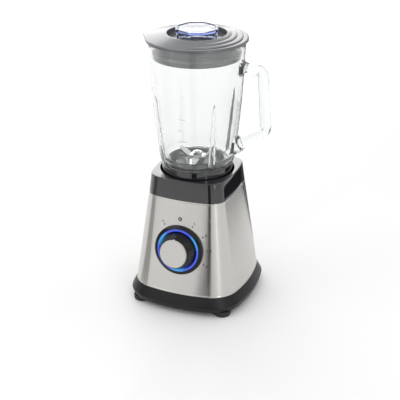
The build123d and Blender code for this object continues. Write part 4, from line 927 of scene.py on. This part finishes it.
def tint(material, colour, density):
    """Colour the light that passes through a clear material."""
    stain = add_node(material, "VolumeAbsorption", {"Color": (*colour, 1), "Density": density})
    material.node_tree.links.new(
        stain.outputs["Volume"], material.node_tree.nodes["Material Output"].inputs["Volume"]
    )


jug_turns = around(400)
mesh = bmesh.new()
jug_skin(mesh, outside_at, outer_line)
jug_glass = new_finish(
    "clear pressed glass", (0.975, 0.983, 0.981), 0.0, size=26, tone=0, relief=0.15,
    Transmission_Weight=0.95, IOR=1.47,
)
tint(jug_glass, (0.7, 0.93, 0.83), 6)
jug = make_piece("jug_glass", mesh, jug_glass, crease=50)

# The handle leaves the wall square, turns down through two tight bends, and flares at its roots.
handle_line = rounded([(58, 349.5), (95.9, 349.5, 11), (101.4, 262.5, 11), (48.6, 231.4)], steps=10)
handle_thickness, handle_width, handle_edge = 13, 18, 4
flare, flare_length, flare_starts = 4, 12, ((65.4, 349.5), (56.5, 236.1))


def handle_ring(spot, along):
    """Cross-section of the handle, square to its line: a block with broad, softened edges."""
    aside = Vector((-along.y, along.x))
    nearest = min((spot - Vector(root)).length if spot.x > root[0] else 0 for root in flare_starts)
    swell = flare * max(1 - nearest / flare_length, 0) ** 2
    x, y = handle_thickness / 2 + swell, handle_width / 2 + swell / 2
    edge = handle_edge
    outline = rounded([
        (x, y - edge, 1.6), (x - edge, y, 1.6), (edge - x, y, 1.6), (-x, y - edge, 1.6),
        (-x, edge - y, 1.6), (edge - x, -y, 1.6), (x - edge, -y, 1.6), (x, edge - y, 1.6),
    ], steps=3)
    return [(*(spot + aside * u).xy, v) for u, v in outline]


def along_at(line, index):
    """Direction of a line of points at one of them."""
    return (line[min(index + 1, len(line) - 1)] - line[max(index - 1, 0)]).normalized()


stops = [handle_line[0]]
for here, there in zip(handle_line, handle_line[1:]):
    count = max(round((there - here).length / 1.5), 1)
    stops += [here.lerp(there, step / count) for step in range(1, count + 1)]
rings = [
    [(x, width, z) for x, z, width in handle_ring(spot, along_at(stops, index))]
    for index, spot in enumerate(stops)
]
mesh = bmesh.new()
skin(mesh, rings, capped=True)
combine(jug, mesh, "UNION")

mesh = bmesh.new()
jug_skin(mesh, inside_at, inner_line)
combine(jug, mesh, "DIFFERENCE")
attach(jug, "jug")
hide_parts("glass_jug")

# ---------------------------------------------------------------- collar and gasket
# A glossy charcoal collar screws on to the jug's threaded neck and clamps a clear silicone
# gasket under the glass. Four notches in its foot drop over the keys in the well.

collar_radius, collar_bore = 50.5, 45.1
seat_foot, seat_top = 182, 185  # the ledge inside, which holds the carrier and the gasket
collar_low, collar_high = corners_of("jug_collar")
notch_height, notch_half_turn = 3.1, 4 / 49
collar_outline = rounded([
    (collar_radius, collar_low.z, 0.3),
    (collar_radius, collar_high.z, 1.6),
    (collar_bore, collar_high.z, 0.5),
    (collar_bore, seat_top),
    (40, seat_top),
    (40, seat_foot),
    (47.5, seat_foot),
    (47.5, collar_low.z, 0.3),
])


def collar_foot(turn):
    """Level of the collar's foot, which is higher in the notches."""
    notched = abs(turn % (pi / 2) - pi / 4) < notch_half_turn
    return collar_low.z + (notch_height if notched else 0)


mesh = bmesh.new()
skin(mesh, [
    [(radius * cos(turn), radius * sin(turn), max(level, collar_foot(turn))) for turn in jug_turns]
    for radius, level in collar_outline
], loop=True)
collar = make_piece("collar", mesh, gloss_charcoal)
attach(collar, "jug")
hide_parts("jug_collar")

clear_silicone = new_finish(
    "clear silicone", (0.8, 0.8, 0.79), 0.35, size=1.5, tone=0.03, Transmission_Weight=0.5, IOR=1.41
)
dress(clear_silicone, "jug_gasket")

# ---------------------------------------------------------------- blade carrier
# The carrier is a dark plastic dome that closes the neck from below. Bronze bushes and a rubber
# seal in its hub hold the blades' shaft, and a toothed socket under it meets the drive dog.

mesh = bmesh.new()
turned(mesh, rounded([
    (5.5, 193),
    (9, 193, 0.6),
    (9, 201.5, 1),
    (32.5, 201.5, 1.5),
    (35, 196.5, 1.5),
    (35, 185),
    (44, 185),
    (44, 188),
    (37.5, 188),
    (37.5, 199, 3),
    (32.5, 204, 3),
    (9, 204, 1.8),
    (9, 209.5, 0.8),
    (5.5, 209.5),
]), steps=128)
carrier = make_piece("carrier", mesh, gloss_black)
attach(carrier, "jug")
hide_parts("blade_carrier")
dress(bearing_bronze, "carrier_bushes")
dress(soft_rubber, "carrier_seal")
dress(plain_moulding, "jug_drive_dog")

# ---------------------------------------------------------------- blades
# Two crossed blades of hard stainless sheet, one bent up and one bent down, each ground to an
# edge along the front of both wings and clamped between spacers by a domed nut.

blade_thickness = 1.8
blade_half_width = 7
blade_root, wing_length, tip_half_reach = 11, 18, 29
edge_grind, plain_edge = 3.2, 0.3
blade_steel = new_finish(
    "polished blade steel", (0.68, 0.68, 0.69), 0.16, size=0.3, tone=0.08, relief=0.004, stretch=(30, 30, 1),
    Metallic=1,
)


def mirrored(section):
    """A blade's section for the other wing, in the order that keeps its corners in line."""
    return [section[index] for index in (1, 0, 3, 2)]


def make_blade(name, level, wing_angle, turn, node):
    rise, run = wing_length * sin(radians(wing_angle)), wing_length * cos(radians(wing_angle))
    tip = (blade_root + run, level + rise)
    line = rounded([(-tip[0], tip[1]), (-blade_root, level, 4), (blade_root, level, 4), tip], steps=6)
    rings = []
    for index, spot in enumerate(line):
        along = along_at(line, index)
        taper = max(abs(spot.x) - blade_root, 0) / (tip_half_reach - blade_root) * blade_half_width
        ground = edge_grind if abs(spot.x) > blade_root - 1 else plain_edge
        # Edges and grinds of the +X wing, which the other wing has the other way round
        section = [(taper - blade_half_width, 0), (blade_half_width, 0)]
        section += [(blade_half_width - plain_edge, blade_thickness)]
        section += [(taper - blade_half_width + ground, blade_thickness)]
        wing = 1 if spot.x > 0 else -1
        rings.append([
            (spot.x - along.y * height, wing * across, spot.y + along.x * height)
            for across, height in (section if wing > 0 else mirrored(section))
        ])
    mesh = bmesh.new()
    skin(mesh, rings, capped=True, place=Matrix.Rotation(turn, 4, "Z"))
    blade = make_piece(name, mesh, blade_steel, crease=20)
    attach(blade, "blade_unit")
    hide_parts(node)


make_blade("blade_high", corners_of("upper_blade")[0].z, 38, 0, "upper_blade")
make_blade("blade_low", corners_of("lower_blade")[1].z - blade_thickness, -14, pi / 2, "lower_blade")
dress(blade_steel, "blade_spacers", "blade_nut")
dress(ground_steel, "blade_shaft")

# ---------------------------------------------------------------- lid
# The lid is a grey satin moulding. Its roof falls away from a round recess to a thin edge, steps
# down in three crescents towards the handle, and is drawn out to a beak over the pouring lip.

lid_underside, lid_edge, lid_crown = 383.3, 387, 393
recess_radius, recess_floor = 41, 385
lid_radius, edge_round = 70.8, 1.4
beak_tip, beak_round, beak_drop = 76.5, 4, 2.5
skirt_radius, skirt_bore, lid_skirt_foot = 60.6, 58.1, corners_of("lid")[0].z
cap_hole = 24.3
# Centre, radius and level of the circle that bounds each step
steps_down = ((-7.7, 54.7, 391), (-7.6, 62.1, 389.2), (-4.8, 67.8, 387.4))


def lid_reach(turn):
    """Distance from the axis to the lid's edge."""
    away = abs((turn % (2 * pi)) - pi)
    slant = acos((lid_radius - beak_round) / beak_tip)
    if away >= slant:
        return lid_radius
    if away > atan2(beak_round * sin(slant), beak_tip + beak_round * cos(slant)):
        return lid_radius / cos(slant - away)
    return beak_tip * cos(away) + sqrt(beak_round ** 2 - (beak_tip * sin(away)) ** 2)


def roof(radius, steps_passed):
    """Height of the lid's roof at a distance from the axis, beyond so many steps."""
    if radius <= lid_radius:
        level = lid_crown - (lid_crown - lid_edge) * (radius - recess_radius) / (lid_radius - recess_radius)
    else:
        level = lid_edge - beak_drop * (radius - lid_radius) / (beak_tip + beak_round - lid_radius)
    return min([level] + [step[2] for step in steps_down[:steps_passed]])


def lid_section(turn):
    """The lid's cross-section in one direction, from the recess round to the hole for the cap."""
    edge = lid_reach(turn)
    bounds = [recess_radius + 1]
    for index, (centre, radius, _) in enumerate(steps_down):
        reach = centre * cos(turn) + sqrt(radius ** 2 - (centre * sin(turn)) ** 2)
        bounds.append(max(min(reach, edge - 4 + index), bounds[-1] + 0.6))
    bounds.append(edge - edge_round)
    points = [
        (cap_hole, lid_underside), (cap_hole, recess_floor - 0.3), (cap_hole + 0.3, recess_floor),
        (recess_radius - 1.5, recess_floor), (recess_radius - 0.5, recess_floor + 0.4),
        (recess_radius, recess_floor + 1.5), (recess_radius, lid_crown - 1),
        (recess_radius + 0.3, lid_crown - 0.3),
    ]
    for passed, (low, high) in enumerate(zip(bounds, bounds[1:])):
        start, end = low + 0.15 * (passed > 0), high - 0.15
        for share in (0, 0.12, 0.5, 0.88, 1):
            radius = start + (end - start) * share
            points.append((radius, roof(radius, passed)))
    level = roof(edge - edge_round, 3)
    points += [
        (edge - 0.7, level - 0.25), (edge - 0.2, level - 0.8), (edge, level - 1.6),
        (edge, lid_underside + 0.6), (edge - 0.6, lid_underside),
        (skirt_radius + 0.5, lid_underside), (skirt_radius, lid_underside - 0.5),
        (skirt_radius, lid_skirt_foot + 0.6), (skirt_radius - 0.6, lid_skirt_foot),
        (skirt_bore + 0.6, lid_skirt_foot), (skirt_bore, lid_skirt_foot + 0.6),
        (skirt_bore, 385.9), (43.5, 388.6), (43.5, lid_underside),
    ]
    return points


lid_turns = {round(pi * step / 120, 6) for step in range(240)}
lid_turns = sorted(lid_turns | {round(pi + radians(step / 4), 6) for step in range(-24, 25)})
sections = [lid_section(turn) for turn in lid_turns]
mesh = bmesh.new()
skin(mesh, [
    [(section[index][0] * cos(turn), section[index][0] * sin(turn), section[index][1])
     for turn, section in zip(lid_turns, sections)]
    for index in range(len(sections[0]))
], loop=True)
lid_grey = new_finish(
    "grey satin moulding", (0.095, 0.099, 0.108), 0.19, size=0.8, tone=0.06, relief=0.006, IOR=1.75
)
lid = make_piece("lid_moulding", mesh, lid_grey, crease=40)
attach(lid, "lid")
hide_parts("lid")

# ---------------------------------------------------------------- lid gasket
# A soft grey silicone ring is stretched over the lid's skirt. Its two thin fins press against
# the inside of the glass and hold the lid down.

gasket_low, gasket_high = corners_of("lid_gasket")
gasket_reach = gasket_high.x
grey_silicone = new_finish("grey silicone", (0.07, 0.072, 0.077), 0.16, size=0.9, tone=0.06, IOR=2.2)
mesh = bmesh.new()
turned(mesh, rounded([
    (skirt_radius, gasket_low.z),
    (gasket_reach - 0.4, gasket_low.z, 0.3),
    (gasket_reach, gasket_low.z + 1.4, 0.3),
    (gasket_reach - 0.7, gasket_low.z + 2.5, 0.3),
    (gasket_reach, gasket_high.z - 1.1, 0.3),
    (gasket_reach - 0.4, gasket_high.z, 0.3),
    (skirt_radius, gasket_high.z),
]), steps=180)
gasket = make_piece("lid_seal", mesh, grey_silicone)
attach(gasket, "lid")
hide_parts("lid_gasket")

# ---------------------------------------------------------------- filler cap
# A clear, faintly blue cap that doubles as a measure. It is a hollow eight-sided moulding with
# a raised rim, and its round plug drops through the hole in the lid.

cap_low, cap_high = corners_of("filler_cap")
cap_foot = 385.1
foot_flat, top_flat = 26.5, 28.9
plug_radius_out, cap_wall, cap_corner = 24, 2.5, 5
first_flat = radians(-68)


def cap_ring(flat, level):
    """Eight-sided outline with round corners; its flats stand this far from the axis."""
    centre = (flat - cap_corner) / cos(pi / 8)
    ring = []
    for side in range(8):
        start = first_flat + side * pi / 4
        for step in range(7):
            turn = start + pi / 4 * step / 6
            ring.append((
                centre * cos(start + pi / 8) + cap_corner * cos(turn),
                centre * sin(start + pi / 8) + cap_corner * sin(turn),
                level,
            ))
    return ring


cap_plan = cap_ring(foot_flat, cap_foot)
cap_shoulder = cap_high.z - 1
mesh = bmesh.new()
skin(mesh, [
    round_ring(cap_plan, plug_radius_out - 0.5, cap_low.z),
    round_ring(cap_plan, plug_radius_out, cap_low.z + 0.5),
    round_ring(cap_plan, plug_radius_out, cap_foot - 0.2),
    cap_ring(foot_flat - 0.6, cap_foot),
    cap_ring(foot_flat, cap_foot + 0.6),
    cap_ring(top_flat, cap_shoulder),
    cap_ring(top_flat - 0.3, cap_high.z - 0.3),
    cap_ring(top_flat - 1, cap_high.z),
    cap_ring(top_flat - 3, cap_high.z),
    cap_ring(top_flat - 3.7, cap_high.z - 0.5),
    cap_ring(top_flat - 4, cap_shoulder),
    round_ring(cap_plan, 12, cap_shoulder - 0.15),
    round_ring(cap_plan, 0, cap_shoulder - 0.2),
    round_ring(cap_plan, 0, cap_shoulder - 0.2 - cap_wall),
    round_ring(cap_plan, 18, cap_shoulder - cap_wall),
    cap_ring(top_flat - 4.5, cap_shoulder - cap_wall - 0.6),
    cap_ring(foot_flat - cap_wall, cap_foot + 1.6),
    round_ring(cap_plan, plug_radius_out - cap_wall, cap_foot - 0.4),
    round_ring(cap_plan, plug_radius_out - cap_wall, cap_low.z + 0.4),
    round_ring(cap_plan, plug_radius_out - cap_wall + 0.4, cap_low.z),
], loop=True)
cap_clear = new_finish(
    "clear blue moulding", (0.97, 0.98, 1), 0.03, size=20, tone=0, relief=0.1, Transmission_Weight=1, IOR=1.49
)
tint(cap_clear, (0.48, 0.56, 0.9), 42)
cap = make_piece("cap", mesh, cap_clear, crease=30)
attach(cap, "filler_cap")
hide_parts("filler_cap")

# ---------------------------------------------------------------- studio
# A plain pale floor, a soft sky of studio panels, three soft lights and the camera. Four dark
# cards, which only glossy surfaces can see, give the polished parts their dark reflections.

floor_half = 12000 * MM
floor_corners = ((-1, -1), (1, -1), (1, 1), (-1, 1))
mesh = bmesh.new()
mesh.faces.new([mesh.verts.new((x * floor_half, y * floor_half, 0)) for x, y in floor_corners])
pale = new_finish(
    "pale floor", (0.93, 0.93, 0.93), 0.6, size=200, tone=0.002, relief=0, Specular_IOR_Level=0.2
)
floor = make_piece("floor", mesh, pale)

scene = bpy.context.scene
scene.view_settings.view_transform = "Standard"
world = bpy.data.worlds.new("studio")
world.use_nodes = True
scene.world = world
direction = add_node(world, "SeparateXYZ", {"Vector": add_node(world, "TexCoord").outputs["Generated"]})
bearing = add_node(world, "Math", operation="ARCTAN2")
world.node_tree.links.new(direction.outputs["Y"], bearing.inputs[0])
world.node_tree.links.new(direction.outputs["X"], bearing.inputs[1])
bearing = add_node(world, "MapRange", {"Value": bearing.outputs["Value"], "From Min": -pi, "From Max": pi})
panels = add_node(world, "ValToRGB", {"Fac": bearing.outputs["Result"]})
# Brightness of the panels in each direction, in degrees round from +X
bearings = (
    (-180, 1.0), (-140, 1.0), (-96, 0.85), (-84, 0.25), (-62, 0.25), (-54, 1.2), (-30, 1.2),
    (-12, 0.7), (30, 0.8), (55, 0.75), (72, 0.7), (92, 0.8), (108, 1.0), (180, 1.0),
)
stops = panels.color_ramp.elements
for bearing_degrees, brightness in bearings[1:-1]:
    stops.new((bearing_degrees + 180) / 360).color = (*[brightness] * 3, 1)
stops[0].color = stops[-1].color = (1, 1, 1, 1)
height = {"Value": direction.outputs["Z"], "From Min": 0.2, "From Max": 0.5}
height = add_node(world, "MapRange", height, interpolation_type="SMOOTHSTEP").outputs["Result"]
sky = mixed(world, height, panels.outputs["Color"], (1.15, 1.15, 1.15, 1))
backdrop = world.node_tree.nodes["Background"]
world.node_tree.links.new(sky, backdrop.inputs["Color"])
backdrop.inputs["Strength"].default_value = 0.87


def soft_light(name, place, aim, size, power):
    """A rectangular softbox at a place in metres, facing a point."""
    lamp = bpy.data.lights.new(name, "AREA")
    lamp.shape = "RECTANGLE"
    lamp.size, lamp.size_y = size
    lamp.energy = power
    lamp_object = bpy.data.objects.new(name, lamp)
    lamp_object.location = place
    lamp_object.rotation_euler = (Vector(aim) - Vector(place)).to_track_quat("-Z", "Y").to_euler()
    scene.collection.objects.link(lamp_object)


soft_light("key", (-1.5, -1.3, 1.9), (0, 0, 0.2), (1.4, 1.4), 5)
soft_light("back", (-1.75, 2.25, 1.15), (0, 0, 0.25), (2.6, 1.5), 23)
soft_light("strip", (1.1, -0.95, 0.6), (0, 0, 0.2), (0.15, 1.1), 1.5)


def flag(name, shade, low_bearing, high_bearing, near, far, height):
    """A dark card that lies on the floor and bends up at its far end, seen only by glossy surfaces."""
    mesh = bmesh.new()
    line = [Vector((reach, 0, level)) * MM for reach, level in ((near, 1), (far, 1), (far, height))]
    rows = []
    for bearing in steps_between(low_bearing, high_bearing, (high_bearing - low_bearing) / 12):
        turn = Matrix.Rotation(radians(bearing), 4, "Z")
        rows.append([mesh.verts.new(turn @ point) for point in line])
    for here, there in zip(rows, rows[1:]):
        for index in range(2):
            mesh.faces.new((here[index], here[index + 1], there[index + 1], there[index]))
    card = make_piece(name, mesh, new_finish(name, [shade] * 3, 0.9, Specular_IOR_Level=0))
    card.visible_camera = card.visible_diffuse = card.visible_transmission = card.visible_shadow = False


flag("flag_front", 0.03, -86, -70, 170, 1000, 350)
flag("flag_right", 0.01, 28, 80, 470, 760, 2)
flag("flag_back", 0.08, 72, 106, 170, 900, 200)
flag("flag_left", 0.4, -162, -134, 170, 1000, 500)

camera = bpy.data.objects.new("camera", bpy.data.cameras.new("camera"))
camera.data.lens = 89.04
camera.data.sensor_width = 36
right = Vector((0.92854, 0.37121, -0.00281))
up = Vector((-0.15385, 0.39171, 0.90714))
ahead = Vector((-0.33784, 0.84188, -0.42083))
camera.matrix_world = Matrix.Translation(Vector((490.7, -1213.3, 749.9)) * MM) @ Matrix(
    (right, up, -ahead)
).transposed().to_4x4()
scene.collection.objects.link(camera)
scene.camera = camera
